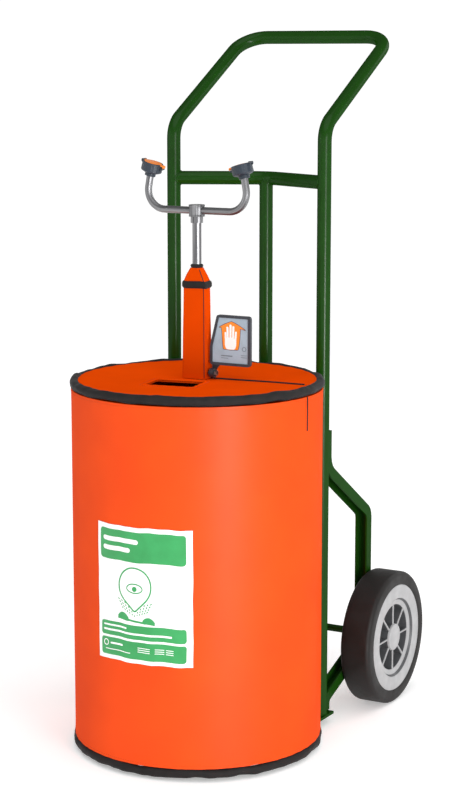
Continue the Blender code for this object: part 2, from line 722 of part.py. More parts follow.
def build_riser(steel):
    """The stand pipe and the yoke that feeds both arms."""
    pipe_low = VALVE_AXIS_HEIGHT + BALL_RADIUS * 0.72 + SEAT_THICKNESS + 4 * MM + GAP
    pipe_top = COLLAR_LOW + COLLAR_HEIGHT * 0.7
    rod("riser_pipe", PIPE_RADIUS, pipe_low, pipe_top, steel, bore=PIPE_RADIUS - PIPE_WALL, sides=20)
    band = 0.8 * MM
    yoke_top = YOKE_HEIGHT + YOKE_HALF
    chamber = PIPE_RADIUS - PIPE_WALL
    outline = [
        (PIPE_RADIUS + GAP, COLLAR_LOW),
        (COLLAR_RADIUS, COLLAR_LOW),
        (COLLAR_RADIUS, YOKE_LOW),
        (YOKE_RADIUS + band, YOKE_LOW),
        (YOKE_RADIUS, YOKE_LOW + 3.4 * MM),
        (YOKE_RADIUS, yoke_top - 4 * MM),
        (YOKE_RADIUS + band, yoke_top - 0.8 * MM),
        (YOKE_RADIUS, yoke_top),
        (0, yoke_top),
        (0, yoke_top - 4 * MM),
        (chamber, yoke_top - 4 * MM),
        (chamber, pipe_top + GAP),
        (PIPE_RADIUS + GAP, pipe_top + GAP),
    ]
    yoke = turned("riser_yoke", outline, steel)
    reach = YOKE_RADIUS * 1.5
    cut(yoke, rod("arm_bore", ARM_RADIUS + GAP, -reach, reach, steel, (0, 0, YOKE_HEIGHT), "X", SMALL))


def arm_end(side):
    return Vector((side * ARM_SPREAD, 0, YOKE_HEIGHT + ARM_RISE))


def build_arm(side, label, steel):
    end = arm_end(side)
    start = Vector((side * (PIPE_RADIUS + GAP), 0, YOKE_HEIGHT))
    corner = Vector((end.x + side * ARM_RISE * math.tan(ARM_LEAN), 0, YOKE_HEIGHT))
    tube(f"arm_{label}", rounded_path([start, corner, end], [ARM_BEND], 7), ARM_RADIUS, steel, ARM_WALL)


def head_frame(side):
    """Turns the head's own frame, with +X pointing out from the riser, into its place on an arm."""
    flip = Matrix.Identity(4) if side > 0 else Matrix.Rotation(math.pi, 4, "Z")
    tilt = Matrix.Rotation(-HEAD_TILT, 4, "Y")
    seat = Matrix.Translation((0, 0, -5 * MM))
    return Matrix.Translation(arm_end(side)) @ flip @ tilt @ seat


def place(obj, frame, pivot=(0, 0, 0)):
    """Puts an object made in the head's frame in its place, with its origin at the pivot."""
    obj.data.transform(Matrix.Translation(-Vector(pivot)))
    obj.matrix_world = frame @ Matrix.Translation(pivot)
    return obj


def build_head(side, label, dark, steel, orange):
    """A spray head with its face, and a dust cover on a hinge at the outer side."""
    frame = head_frame(side)
    inner = HEAD_RADIUS - HEAD_WALL
    seat = HEAD_HEIGHT - FACE_SINK - FACE_THICKNESS
    chamber = inner - 2 * MM
    bore = ARM_RADIUS + SLIDE
    outline = [
        (bore, 0),
        (HEAD_NECK_RADIUS, 0),
        (HEAD_NECK_RADIUS, 5 * MM),
        (HEAD_RADIUS * 0.68, 5.8 * MM),
        (HEAD_RADIUS * 0.94, 8 * MM),
        (HEAD_RADIUS, 9.5 * MM),
        (HEAD_RADIUS, HEAD_HEIGHT - 1 * MM),
        (HEAD_RADIUS - 0.6 * MM, HEAD_HEIGHT),
        (inner, HEAD_HEIGHT),
        (inner, seat),
        (chamber, seat),
        (chamber, 12 * MM),
        (bore, 8.5 * MM),
    ]
    head = turned(f"spray_head_{label}", outline, dark)
    hinge_x = HEAD_RADIUS + HINGE_REACH
    hinge_z = HEAD_HEIGHT - 0.4 * MM
    ear_low = HEAD_HEIGHT - 5 * MM
    ear = [
        (HEAD_RADIUS - 1.8 * MM, ear_low),
        (HEAD_RADIUS - 0.4 * MM, ear_low),
        (hinge_x + HINGE_RADIUS, hinge_z - HINGE_RADIUS * 1.2),
        (hinge_x + HINGE_RADIUS, hinge_z + HINGE_RADIUS * 0.6),
        (hinge_x + HINGE_RADIUS * 0.6, hinge_z + HINGE_RADIUS),
        (hinge_x - HINGE_RADIUS * 0.6, hinge_z + HINGE_RADIUS),
        (HEAD_RADIUS - 1.8 * MM, HEAD_HEIGHT - 0.4 * MM),
    ]
    near = KNUCKLE_HALF + RUN
    for way in (-1, 1):
        low, high = sorted((way * near, way * (near + EAR_WIDTH)))
        join(head, prism("ear", ear, low, high, dark, "XZ"))
    cover_low = HEAD_HEIGHT - COVER_SINK
    notch_low = cover_low - RUN
    for start, end, half in (
        (inner - 2 * MM, HEAD_RADIUS + 6 * MM, near),
        (-HEAD_RADIUS - 2 * MM, -inner + 2 * MM, TAB_WIDTH / 2 + RUN),
    ):
        cut(head, box("notch", (start, -half, notch_low), (end, half, HEAD_HEIGHT + 5 * MM), dark))
    lip_top = notch_low - 2.4 * MM
    lip = [
        (-HEAD_RADIUS + 1 * MM, lip_top - 6 * MM),
        (1 * MM - HEAD_RADIUS, lip_top),
        (-HEAD_RADIUS - LIP_REACH, lip_top),
        (-HEAD_RADIUS - LIP_REACH, lip_top - 1.6 * MM),
    ]
    join(head, prism("lip", lip, -TAB_WIDTH / 2, TAB_WIDTH / 2, dark, "XZ"))
    pin_reach = near + EAR_WIDTH
    hinge_at = (hinge_x, 0, hinge_z)
    cut(head, rod("pin_hole", HINGE_PIN_RADIUS + GAP, -pin_reach - MM, pin_reach + MM, dark, hinge_at, "Y", 12))
    place(head, frame)
    pin = rod(f"hinge_pin_{label}", HINGE_PIN_RADIUS, -pin_reach, pin_reach, steel, axis="Y", sides=12)
    pin.matrix_world = frame @ Matrix.Translation(hinge_at)
    face_low = seat + GAP
    face = [
        (0, face_low),
        (inner - GAP, face_low),
        (inner - GAP, face_low + FACE_THICKNESS - MM),
        (inner * 0.5, face_low + FACE_THICKNESS),
        (0, face_low + FACE_THICKNESS),
    ]
    place(turned(f"spray_face_{label}", face, steel), frame)

    cover_radius = inner - COVER_PLAY
    cover_top = cover_low + COVER_THICKNESS
    lid = [
        (0, cover_low),
        (cover_radius, cover_low),
        (cover_radius, cover_top - 0.6 * MM),
        (cover_radius - MM, cover_top),
        (cover_radius * 0.5, cover_top + COVER_DOME * 0.8),
        (0, cover_top + COVER_DOME),
    ]
    cover = turned(f"dust_cover_{label}", lid, orange)
    tab_end = HEAD_RADIUS + TAB_LENGTH
    tab = [
        (-cover_radius + 2 * MM, cover_low),
        (-cover_radius + 2 * MM, cover_top - 0.4 * MM),
        (-tab_end + 1.5 * MM, cover_top - 0.4 * MM),
        (-tab_end, cover_top - 1.4 * MM),
        (-tab_end, cover_low - 2 * MM),
        (-tab_end + 1.5 * MM, cover_low - 2 * MM),
        (-tab_end + 2 * MM, cover_low),
    ]
    join(cover, prism("tab", tab, -TAB_WIDTH / 2, TAB_WIDTH / 2, orange, "XZ"))
    web = [
        (cover_radius - 2 * MM, cover_low + 0.2 * MM),
        (hinge_x - HINGE_RADIUS * 0.6, cover_low + 0.4 * MM),
        (hinge_x, hinge_z + HINGE_RADIUS * 0.8),
        (cover_radius - 2 * MM, cover_top - 0.2 * MM),
    ]
    join(cover, prism("knuckle_web", web, -KNUCKLE_HALF, KNUCKLE_HALF, orange, "XZ"))
    knuckle = rod("knuckle", HINGE_RADIUS, -KNUCKLE_HALF, KNUCKLE_HALF, orange, hinge_at, "Y", 12)
    join(cover, knuckle)
    cut(cover, rod("knuckle_hole", HINGE_PIN_RADIUS + RUN, -pin_reach, pin_reach, orange, hinge_at, "Y", 12))
    place(cover, frame, hinge_at)


def build_jacket(orange, black, foam):
    wall_inner = JACKET_RADIUS - JACKET_WALL
    wall = rod("jacket_wall", JACKET_RADIUS, WALL_LOW, WALL_TOP, orange, sides=BIG, bore=wall_inner)
    half = SEAM_WIDTH / 2
    slit_low = JACKET_TOP - SLIT_DEPTH
    slit = box(
        "wall_slit",
        (wall_inner - 5 * MM, -half, slit_low),
        (JACKET_RADIUS + 5 * MM, half, WALL_TOP + 5 * MM),
        orange,
    )
    cut(wall, slit)
    lid_radius = BINDING_RING - BINDING_RADIUS - GAP
    lid = rod("jacket_lid", lid_radius, LID_UNDER, JACKET_TOP, orange, sides=BIG)
    across, along = WINDOW_SIZE
    window = box(
        "lid_window",
        (-across / 2, -along / 2, LID_UNDER - MM),
        (across / 2, along / 2, JACKET_TOP + MM),
        orange,
        (*WINDOW_CENTRE, 0),
        (0, 0, WINDOW_TURN),
    )
    hole_x = SLEEVE_BASE[0] / 2 - SLEEVE_WALL
    hole_y = SLEEVE_BASE[1] / 2 - SLEEVE_WALL
    hole = box("riser_hole", (-hole_x, -hole_y, LID_UNDER - MM), (hole_x, hole_y, JACKET_TOP + MM), orange)
    seam = box(
        "lid_seam",
        (hole_x / 2, -half, LID_UNDER - MM),
        (lid_radius + 5 * MM, half, JACKET_TOP + MM),
        orange,
        rotation=(0, 0, SEAM_TURN),
    )
    cut(lid, window, hole, seam)
    turned("top_binding", ring_outline(BINDING_RING, BINDING_RADIUS, TOP_BINDING_HEIGHT), black, sides=BIG)
    low_ring = ring_outline(BINDING_RING, BINDING_RADIUS, LOW_BINDING_HEIGHT)
    low_binding = turned("bottom_binding", low_ring, black, sides=BIG)
    gap_half = PLATE_HALF + SLIDE
    cut(low_binding, box("plate_gap", (-gap_half, 0, -PLATE_TOP), (gap_half, PLATE_REAR * 2, PLATE_TOP * 2), black))
    liner_inner = LINER_OUTER - LINER_THICKNESS
    rod("insulation_liner", LINER_OUTER, WALL_LOW, LINER_TOP, foam, sides=BIG, bore=liner_inner)


def build_label(white):
    inner = JACKET_RADIUS + GAP
    outer = inner + LABEL_THICKNESS
    half_angle = LABEL_SIZE[0] / JACKET_RADIUS / 2
    steps = 14
    turns = [LABEL_TURN - half_angle + 2 * half_angle * k / steps for k in range(steps + 1)]
    front = [(outer * math.sin(t), -outer * math.cos(t)) for t in turns]
    back = [(inner * math.sin(t), -inner * math.cos(t)) for t in reversed(turns)]
    prism("label", front + back, LABEL_LOW, LABEL_LOW + LABEL_SIZE[1], white)


def corner_ring(size, corner, height, inset=0.0):
    """The eight corners of a rectangle with clipped corners, at a height."""
    x, y = size[0] / 2 - inset, size[1] / 2 - inset
    clip = max(corner - inset * 0.6, 0.2 * MM)
    quarter = [(x, y - clip), (x - clip, y)]
    ring = []
    for sx, sy, order in ((1, 1, 1), (-1, 1, -1), (-1, -1, 1), (1, -1, -1)):
        ring += [(sx * a, sy * b, height) for a, b in quarter[::order]]
    return ring


def neck_ring(radius, height):
    turns = [math.radians(a) for a in (22.5, 67.5, 112.5, 157.5, 202.5, 247.5, 292.5, 337.5)]
    return [(radius * math.cos(t), radius * math.sin(t), height) for t in turns]


def skin(bm, rings):
    """Faces between rings of eight points. Returns the first and last ring's verts."""
    made = [[bm.verts.new(p) for p in ring] for ring in rings]
    for here, there in zip(made, made[1:]):
        for k in range(len(here)):
            after = (k + 1) % len(here)
            bm.faces.new((here[k], here[after], there[after], there[k]))
    return made[0], made[-1]


def rim_faces(bm, outer, inner):
    for k in range(len(outer)):
        after = (k + 1) % len(outer)
        bm.faces.new((outer[k], outer[after], inner[after], inner[k]))


def build_sleeve(orange, black):
    low = JACKET_TOP + GAP
    strap_low = SLEEVE_SHOULDER_TOP - STRAP_HEIGHT

    def rings(inset):
        return [
            corner_ring(SLEEVE_BASE, SLEEVE_CORNER, low, inset),
            corner_ring(SLEEVE_SHOULDER, SLEEVE_CORNER, strap_low, inset),
            corner_ring(SLEEVE_SHOULDER, SLEEVE_CORNER, SLEEVE_SHOULDER_TOP, inset),
            neck_ring(SLEEVE_NECK_RADIUS - inset, SLEEVE_TOP),
        ]

    bm = bmesh.new()
    outer_low, outer_top = skin(bm, rings(0))
    inner_low, inner_top = skin(bm, rings(SLEEVE_WALL))
    rim_faces(bm, outer_low, inner_low)
    rim_faces(bm, outer_top, inner_top)
    sleeve = make_object("riser_sleeve", bm, orange)
    centre = (0, 0, VALVE_AXIS_HEIGHT)
    stem_hole = rod("sleeve_hole", STEM_RADIUS + 2 * MM, 0, LEVER_NEAR + MM, orange, centre, "X", SMALL)
    cut(sleeve, stem_hole)

    bm = bmesh.new()
    shoulder = SLEEVE_SHOULDER
    strap_top = SLEEVE_SHOULDER_TOP - GAP
    bands = [(strap_low, STRAP_THICKNESS * 0.5), (strap_low + STRAP_HEIGHT * 0.3, STRAP_THICKNESS)]
    bands += [(strap_top - STRAP_HEIGHT * 0.3, STRAP_THICKNESS), (strap_top, STRAP_THICKNESS * 0.5)]
    outside = [corner_ring(shoulder, SLEEVE_CORNER + out, z, -out - GAP) for z, out in bands]
    inside = [corner_ring(shoulder, SLEEVE_CORNER, z, -GAP) for z, _ in bands]
    outer_low, outer_top = skin(bm, outside)
    inner_low, inner_top = skin(bm, inside)
    rim_faces(bm, outer_low, inner_low)
    rim_faces(bm, outer_top, inner_top)
    make_object("sleeve_strap", bm, black)
    band_low = SLEEVE_TOP + GAP
    rod("neck_band", NECK_BAND_RADIUS, band_low, band_low + NECK_BAND_HEIGHT, black, bore=PIPE_RADIUS + GAP)


def cross_bar_points(height, shoulder=None):
    """A bar that bows back to the centre post, past the jacket where it has a shoulder."""
    half = [Vector((UPRIGHT_SPREAD, UPRIGHT_BACK, height))]
    if shoulder is not None:
        half.append(Vector((*shoulder, height)))
    corners = [Vector((-v.x, v.y, v.z)) for v in half] + [Vector((0, POST_BACK, height))] + half[::-1]
    return rounded_path(corners, [BAR_BEND] * (len(corners) - 2), 4)


def build_cart_frame(green):
    top = (UPRIGHT_BACK + HANDLE_REACH, HANDLE_TOP)
    bend = (UPRIGHT_BACK, HANDLE_BEND_HEIGHT)
    corners = [
        (-UPRIGHT_SPREAD, UPRIGHT_BACK, STANDING),
        (-UPRIGHT_SPREAD, *bend),
        (-UPRIGHT_SPREAD, *top),
        (UPRIGHT_SPREAD, *top),
        (UPRIGHT_SPREAD, *bend),
        (UPRIGHT_SPREAD, UPRIGHT_BACK, STANDING),
    ]
    bends = [LEAN_BEND, CORNER_BEND, CORNER_BEND, LEAN_BEND]
    tube("frame_tube", rounded_path(corners, bends), TUBE_RADIUS, green, TUBE_WALL)
    bars = (
        ("upper_cross_bar", UPPER_BAR_HEIGHT, None),
        ("lower_cross_bar", LOWER_BAR_HEIGHT, LOWER_BAR_SHOULDER),
    )
    for name, height, shoulder in bars:
        bar = tube(name, cross_bar_points(height, shoulder), TUBE_RADIUS, green)
        for side in (-1, 1):
            at = (side * UPRIGHT_SPREAD, UPRIGHT_BACK, height)
            reach = TUBE_RADIUS * 3
            cut(bar, rod("cope", TUBE_RADIUS + GAP, -reach, reach, green, at, sides=ROUND))
    post_low = LOWER_BAR_HEIGHT + TUBE_RADIUS + GAP
    post_top = UPPER_BAR_HEIGHT - TUBE_RADIUS - GAP
    bow = (POST_BACK - UPRIGHT_BACK) / math.hypot(POST_BACK - UPRIGHT_BACK, UPRIGHT_SPREAD)
    post_y = POST_BACK - BAR_BEND * (1 / math.sqrt(1 - bow * bow) - 1)
    post = rod(
        "centre_post",
        TUBE_RADIUS,
        post_low,
        post_top,
        green,
        (0, post_y, 0),
        sides=TUBE * 2,
        bore=TUBE_RADIUS - TUBE_WALL,
    )
    return post


def build_toe_plate(green, rubber):
    """A plate with a round nose that carries the tank, on a rubber foot."""
    half_angle = math.asin(PLATE_HALF / PLATE_NOSE_RADIUS)
    turns = [-half_angle + 2 * half_angle * k / 20 for k in range(21)]
    nose = [(PLATE_NOSE_RADIUS * math.sin(t), -PLATE_NOSE_RADIUS * math.cos(t)) for t in turns]
    outline = [(-PLATE_HALF, PLATE_REAR)] + nose + [(PLATE_HALF, PLATE_REAR)]
    prism("toe_plate", outline, PLATE_LOW, PLATE_TOP, green)
    x, y = FOOT_SIZE[0] / 2, FOOT_SIZE[1] / 2
    clip = FOOT_CHAMFER * 3
    corners = [(x, y - clip), (x - clip, y), (clip - x, y), (-x, y - clip)]
    corners += [(-x, clip - y), (clip - x, -y), (x - clip, -y), (x, clip - y)]
    prism("foot_pad", corners, 0, PLATE_LOW - GAP, rubber, at=(0, -FOOT_FORWARD, 0))


def offset_path(points, distance):
    """The YZ points moved sideways, to the front of a path that runs down."""
    moved = []
    for i, point in enumerate(points):
        into = points[i] - points[i - 1] if i > 0 else points[1] - points[0]
        out = points[i + 1] - points[i] if i < len(points) - 1 else into
        ahead = (into.normalized() + out.normalized()).normalized()
        moved.append(point + Vector((0, ahead.z, -ahead.y)) * distance)
    return moved


def bracket_back():
    """The back edge of an axle bracket, from its top end down to the toe plate."""
    back = AXLE_BACK + AXLE_TO_BRACKET_BACK
    corners = [
        (0, BRACKET_BACK, BRACKET_TOP),
        (0, BRACKET_BACK, BRACKET_LEG_LOW),
        (0, back, BRACKET_KNEE),
        (0, back, BRACKET_HEEL),
        (0, BRACKET_BACK, BRACKET_TOE),
        (0, BRACKET_BACK, STANDING),
    ]
    return rounded_path(corners, [BRACKET_BEND, BRACKET_BEND, BRACKET_BEND * 0.8, BRACKET_BEND * 0.3], 3)


def build_bracket(side, label, green):
    """A bent channel from the upright's back, round the axle and down to the toe plate, open to the front."""
    back = bracket_back()
    front = offset_path(back, BRACKET_DEPTH)
    near, far = sorted((side * (BRACKET_OUTER - BRACKET_WIDTH), side * BRACKET_OUTER))
    outline = [(p.y, p.z) for p in back + front[::-1]]
    bracket = prism(f"axle_bracket_{label}", outline, near, far, green, "YZ")
    web = offset_path(back, BRACKET_SHEET)
    past = offset_path(back, BRACKET_DEPTH + MM)
    web[0].z = past[0].z = BRACKET_TOP + MM
    web[-1].z = past[-1].z = PLATE_LOW
    pocket = [(p.y, p.z) for p in web + past[::-1]]
    cut(bracket, prism("pocket", pocket, near + BRACKET_SHEET, far - BRACKET_SHEET, green, "YZ"))
    at = (0, AXLE_BACK, AXLE_HEIGHT)
    cut(bracket, rod("axle_notch", AXLE_RADIUS + GAP, near - MM, far + MM, green, at, "X"))
    return bracket


def build_axle(green):
    reach = WHEEL_INNER + NUT_SEAT + GAP * 2 + NUT_THICKNESS
    rod("axle", AXLE_RADIUS, -reach, reach, green, (0, AXLE_BACK, AXLE_HEIGHT), "X", SMALL)


def build_wheel(side, label, rubber, plastic, nylon, steel):
    """A wheel turned about the axle. Heights run out from the wheel's inner face."""
    axis = "X" if side > 0 else "-X"
    at = (side * WHEEL_INNER, AXLE_BACK, AXLE_HEIGHT)
    low, high = -TYRE_PROUD[0], WHEEL_WIDTH + TYRE_PROUD[1]
    bead = RIM_RADIUS + GAP
    shoulder = WHEEL_RADIUS - TYRE_CHAMFER
    tyre = [
        (bead, 0),
        (bead + 3 * MM, low),
        (shoulder, low),
        (WHEEL_RADIUS, low + TYRE_CHAMFER),
        (WHEEL_RADIUS, high - TYRE_CHAMFER),
        (shoulder, high),
        (bead + 3 * MM, high),
        (bead, WHEEL_WIDTH),
    ]
    turned(f"tyre_{label}", tyre, rubber, at, axis, WHEEL)
    floor = WHEEL_WIDTH - POCKET_FLOOR
    back = floor - WEB_THICKNESS
    rim = [
        (HUB_BORE, -HUB_BACK_REACH),
        (HUB_RADIUS - 5 * MM, -HUB_BACK_REACH),
        (HUB_RADIUS - 3 * MM, back),
        (RIM_RADIUS - 12 * MM, back),
        (RIM_RADIUS - 9 * MM, 0),
        (RIM_RADIUS, 0),
        (RIM_RADIUS, WHEEL_WIDTH - MM),
        (RIM_RADIUS - MM, WHEEL_WIDTH),
        (RIM_STEP_RADIUS, WHEEL_WIDTH),
        (POCKET_RADIUS, HUB_FACE),
        (POCKET_RADIUS - 1.5 * MM, floor),
        (HUB_RADIUS + 1.5 * MM, floor),
        (HUB_RADIUS, HUB_FACE),
        (NUT_POCKET_RADIUS, HUB_FACE),
        (NUT_POCKET_RADIUS, NUT_SEAT),
        (HUB_BORE, NUT_SEAT),
    ]
    wheel_rim = turned(f"wheel_rim_{label}", rim, plastic, at, axis, WHEEL)
    for k in range(SPOKE_COUNT):
        reach = (HUB_RADIUS - 2 * MM, POCKET_RADIUS + 3 * MM)
        inner, outer = sorted((side * (floor - MM), side * (HUB_FACE - 0.4 * MM)))
        half = SPOKE_THICKNESS / 2
        spoke = box("spoke", (inner, -half, reach[0]), (outer, half, reach[1]), plastic, at)
        spoke.rotation_euler = (2 * math.pi * k / SPOKE_COUNT, 0, 0)
        join(wheel_rim, spoke)
    bush = [
        (AXLE_RADIUS + RUN, -HUB_BACK_REACH),
        (HUB_BORE - GAP, -HUB_BACK_REACH),
        (HUB_BORE - GAP, NUT_SEAT - GAP),
        (AXLE_RADIUS + RUN, NUT_SEAT - GAP),
    ]
    turned(f"hub_bush_{label}", bush, nylon, at, axis, SMALL)
    nut_start = NUT_SEAT + GAP
    nut_end = nut_start + NUT_THICKNESS
    hex_nut(f"axle_nut_{label}", NUT_RADIUS, AXLE_RADIUS + GAP, nut_start, nut_end, steel, at, axis)
    cap_low = HUB_FACE + GAP
    cap = [
        (0, cap_low + CAP_DOME * 0.5),
        (NUT_POCKET_RADIUS - 2 * MM, cap_low),
        (HUB_RADIUS, cap_low),
        (HUB_RADIUS - 0.8 * MM, cap_low + CAP_THICKNESS),
        (HUB_RADIUS * 0.6, cap_low + CAP_THICKNESS + CAP_DOME * 0.7),
        (0, cap_low + CAP_THICKNESS + CAP_DOME),
    ]
    turned(f"hub_cap_{label}", cap, plastic, at, axis, ROUND)


def main():
    clear_scene()
    orange_cloth = make_material("orange_coated_fabric", (0.80, 0.065, 0.0), 0.6)
    black_cloth = make_material("black_binding", (0.03, 0.03, 0.03), 0.7)
    foam = make_material("closed_cell_foam", (0.45, 0.45, 0.43), 0.9)
    paper = make_material("label_film", (0.85, 0.87, 0.85), 0.5)
    green_paint = make_material("green_paint", (0.016, 0.075, 0.010), 0.35)
    steel = make_material("stainless_steel", (0.60, 0.60, 0.58), 0.25, 1.0)
    brass = make_material("brass", (0.60, 0.44, 0.17), 0.35, 1.0)
    dark = make_material("slate_plastic", (0.035, 0.050, 0.075), 0.45)
    cover_orange = make_material("orange_plastic", (0.90, 0.20, 0.01), 0.4)
    flag_grey = make_material("flag_grey", (0.38, 0.45, 0.50), 0.4)
    rubber = make_material("tyre_rubber", (0.015, 0.015, 0.015), 0.8)
    rim_grey = make_material("grey_nylon", (0.55, 0.55, 0.55), 0.45)
    nylon = make_material("white_nylon", (0.75, 0.75, 0.72), 0.4)
    red = make_material("red_plastic", (0.55, 0.02, 0.02), 0.4)
    glass = make_material("clear_glass", (0.9, 0.95, 0.95), 0.05, alpha=0.35)

    build_tank(steel, dark)
    build_fittings(brass, steel, rubber, paper, red, glass)
    build_valve(brass, steel, nylon)
    build_flag(flag_grey, dark, steel)
    build_riser(steel)
    build_jacket(orange_cloth, black_cloth, foam)
    build_label(paper)
    build_sleeve(orange_cloth, black_cloth)
    build_cart_frame(green_paint)
    build_toe_plate(green_paint, rubber)
    build_axle(green_paint)
    for side, label in ((-1, "left"), (1, "right")):
        build_arm(side, label, steel)
        build_head(side, label, dark, steel, cover_orange)
        build_bracket(side, label, green_paint)
        build_wheel(side, label, rubber, rim_grey, nylon, steel)


main()
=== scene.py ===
"""Finishes and soft goods of a portable eyewash station, around its solid frame.

Metres, +Z up, the front towards -Y. It is laid out as an add-on and run as a script.
"""

import math

import bmesh
import bpy
from bpy.props import FloatProperty, PointerProperty, StringProperty
from mathutils import Matrix, Vector, noise


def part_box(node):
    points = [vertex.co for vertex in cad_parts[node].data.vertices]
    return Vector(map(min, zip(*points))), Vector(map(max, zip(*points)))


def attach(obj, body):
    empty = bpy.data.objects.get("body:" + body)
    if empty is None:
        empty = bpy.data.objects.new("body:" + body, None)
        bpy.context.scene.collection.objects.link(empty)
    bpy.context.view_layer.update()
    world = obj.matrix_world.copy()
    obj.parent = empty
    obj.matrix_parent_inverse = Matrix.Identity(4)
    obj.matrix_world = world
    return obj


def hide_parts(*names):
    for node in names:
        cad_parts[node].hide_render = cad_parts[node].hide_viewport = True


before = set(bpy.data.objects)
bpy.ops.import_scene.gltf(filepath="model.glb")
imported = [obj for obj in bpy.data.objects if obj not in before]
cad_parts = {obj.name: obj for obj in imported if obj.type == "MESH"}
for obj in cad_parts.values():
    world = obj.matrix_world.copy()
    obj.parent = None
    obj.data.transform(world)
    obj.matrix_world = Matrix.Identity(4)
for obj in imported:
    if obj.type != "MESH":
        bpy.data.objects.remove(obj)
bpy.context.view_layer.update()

bl_info = {
    "name": "Eyewash Station Finishes",
    "version": (1, 0, 0),
    "blender": (4, 5, 0),
    "location": "3D View > Sidebar > Eyewash",
    "description": "Makes the cover, label, welds and finishes of a portable eyewash station",
    "category": "Object",
}

MM = 0.001

# Places that follow from the solid frame
LID_LOW, LID_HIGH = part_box("jacket_lid")
WALL_LOW, WALL_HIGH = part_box("jacket_wall")
SLEEVE_LOW, SLEEVE_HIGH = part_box("riser_sleeve")
STRAP_LOW, STRAP_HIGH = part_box("sleeve_strap")
NECK_LOW, NECK_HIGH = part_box("neck_band")
FRAME_LOW, FRAME_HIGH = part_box("frame_tube")
PLATE_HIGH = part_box("toe_plate")[1]
POST_LOW, POST_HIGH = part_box("centre_post")
FLAG_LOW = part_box("flag_plate")[0]
WALL_RADIUS = WALL_HIGH.x - 0.3 * MM
WALL_INNER = WALL_HIGH.x - 7.6 * MM
BINDING_RADIUS = 8.6 * MM
BINDING_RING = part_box("top_binding")[1].x - BINDING_RADIUS
TUBE_RADIUS = 12.5 * MM
UPRIGHT_X = FRAME_HIGH.x - TUBE_RADIUS
UPRIGHT_Y = FRAME_LOW.y + TUBE_RADIUS
POST_Y = (POST_LOW.y + POST_HIGH.y) / 2
HANDLE_BEND = 1101 * MM
HANDLE_TOP = FRAME_HIGH.z - TUBE_RADIUS
HANDLE_BACK = FRAME_HIGH.y - TUBE_RADIUS
BAR_CORNER = 262 * MM
BAR_SHOULDER = (118 * MM, 216 * MM)
WHEEL_LOW, WHEEL_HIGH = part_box("tyre_right")
WHEEL_RADIUS = (WHEEL_HIGH.z - WHEEL_LOW.z) / 2
AXLE_Y = (WHEEL_LOW.y + WHEEL_HIGH.y) / 2
RIM_INNER = 162.5 * MM
ARM_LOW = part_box("arm_right")[0]
ARM_RADIUS = 6.35 * MM
ARM_START = 9 * MM
ARM_END = (93.5 * MM, 1022.5 * MM)
ARM_BEND = 33 * MM
ARM_LEAN = math.radians(10)
HEAD_TILT = math.radians(16)
KNUCKLE_HALF = 3.45 * MM
BRACKET_REACH = 20.6 * MM
WHEEL_WIDTH = 57.5 * MM
RIM_RADIUS = 102 * MM
SPOKES = 8
SIDES = ((-1, "left"), (1, "right"))

# Cut-outs of the lid
WINDOW_CENTRE = (-5.0 * MM, -69.0 * MM)
WINDOW_SIZE = (92 * MM, 70 * MM)
WINDOW_TURN = math.radians(10)
SEAM_ENDS = ((16 * MM, 7 * MM), (206 * MM, 23.6 * MM))
SEAM_WIDTH = 2.6 * MM
SLIT_TURN = math.radians(-2)
SLIT_LENGTH = 74 * MM
LID_SKIN = 4.5 * MM


# ---------------------------------------------------------------- materials


def linear(code):
    """A display colour, such as "E84A02", as linear red, green, blue and alpha."""
    values = [int(code[i : i + 2], 16) / 255 for i in (0, 2, 4)]
    return [v / 12.92 if v <= 0.04045 else ((v + 0.055) / 1.055) ** 2.4 for v in values] + [1.0]


def add(tree, kind, inputs=None, **settings):
    """A shader node with its settings and its inputs, each a value or another node's output."""
    node = tree.nodes.new("ShaderNode" + kind)
    for name, value in settings.items():
        setattr(node, name, value)
    for name, value in (inputs or {}).items():
        feed(tree, node.inputs[name], value)
    return node


def feed(tree, socket, value):
    """Gives a socket a value, or links it to another node's output."""
    if isinstance(value, bpy.types.NodeSocket):
        tree.links.new(value, socket)
    else:
        socket.default_value = value


def made_once(make):
    """Lets a maker of materials run once for each name. Later calls get the same material."""

    def find_or_make(name, *values):
        return bpy.data.materials.get(name) or make(name, *values)

    return find_or_make


def new_material(name, **uniform):
    """A material with a Principled shader. The keywords are its uniform inputs."""
    material = bpy.data.materials.new(name)
    material.use_nodes = True
    shader = material.node_tree.nodes["Principled BSDF"]
    for key, value in uniform.items():
        shader.inputs[key.replace("_", " ")].default_value = value
    return material, material.node_tree


def position(tree, stretch=(1, 1, 1), space="Object"):
    """Object or UV coordinates in metres, scaled along each axis."""
    where = add(tree, "TexCoord").outputs[space]
    return add(tree, "Mapping", {"Vector": where, "Scale": stretch}).outputs["Vector"]


def mottle(tree, where, size, detail=3.0, rough=0.55):
    """Cloudy noise whose patches are about size metres across."""
    inputs = {"Vector": where, "Scale": 1 / size, "Detail": detail, "Roughness": rough}
    return add(tree, "TexNoise", inputs).outputs["Fac"]


def ribs(tree, pitch, direction, **inputs):
    """Waves at a pitch along the cloth's own U or V."""
    uv = add(tree, "TexCoord").outputs["UV"]
    inputs = {"Vector": uv, "Scale": 2 * math.pi / 20 / pitch, **inputs}
    return add(tree, "TexWave", inputs, bands_direction=direction).outputs["Fac"]


def spread(tree, value, low, high, start=0.3, end=0.7):
    """The value between start and end, spread over low to high."""
    inputs = {"Value": value, "From Min": start, "From Max": end, "To Min": low, "To Max": high}
    return add(tree, "MapRange", inputs).outputs["Result"]


def maths(tree, kind, first, second, **settings):
    return add(tree, "Math", {0: first, 1: second}, operation=kind, **settings).outputs[0]


def mixed(tree, factor, first, second):
    """A colour between two, by a factor."""
    node = add(tree, "Mix", {"Factor": factor}, data_type="RGBA")
    feed(tree, node.inputs[6], first)
    feed(tree, node.inputs[7], second)
    return node.outputs[2]


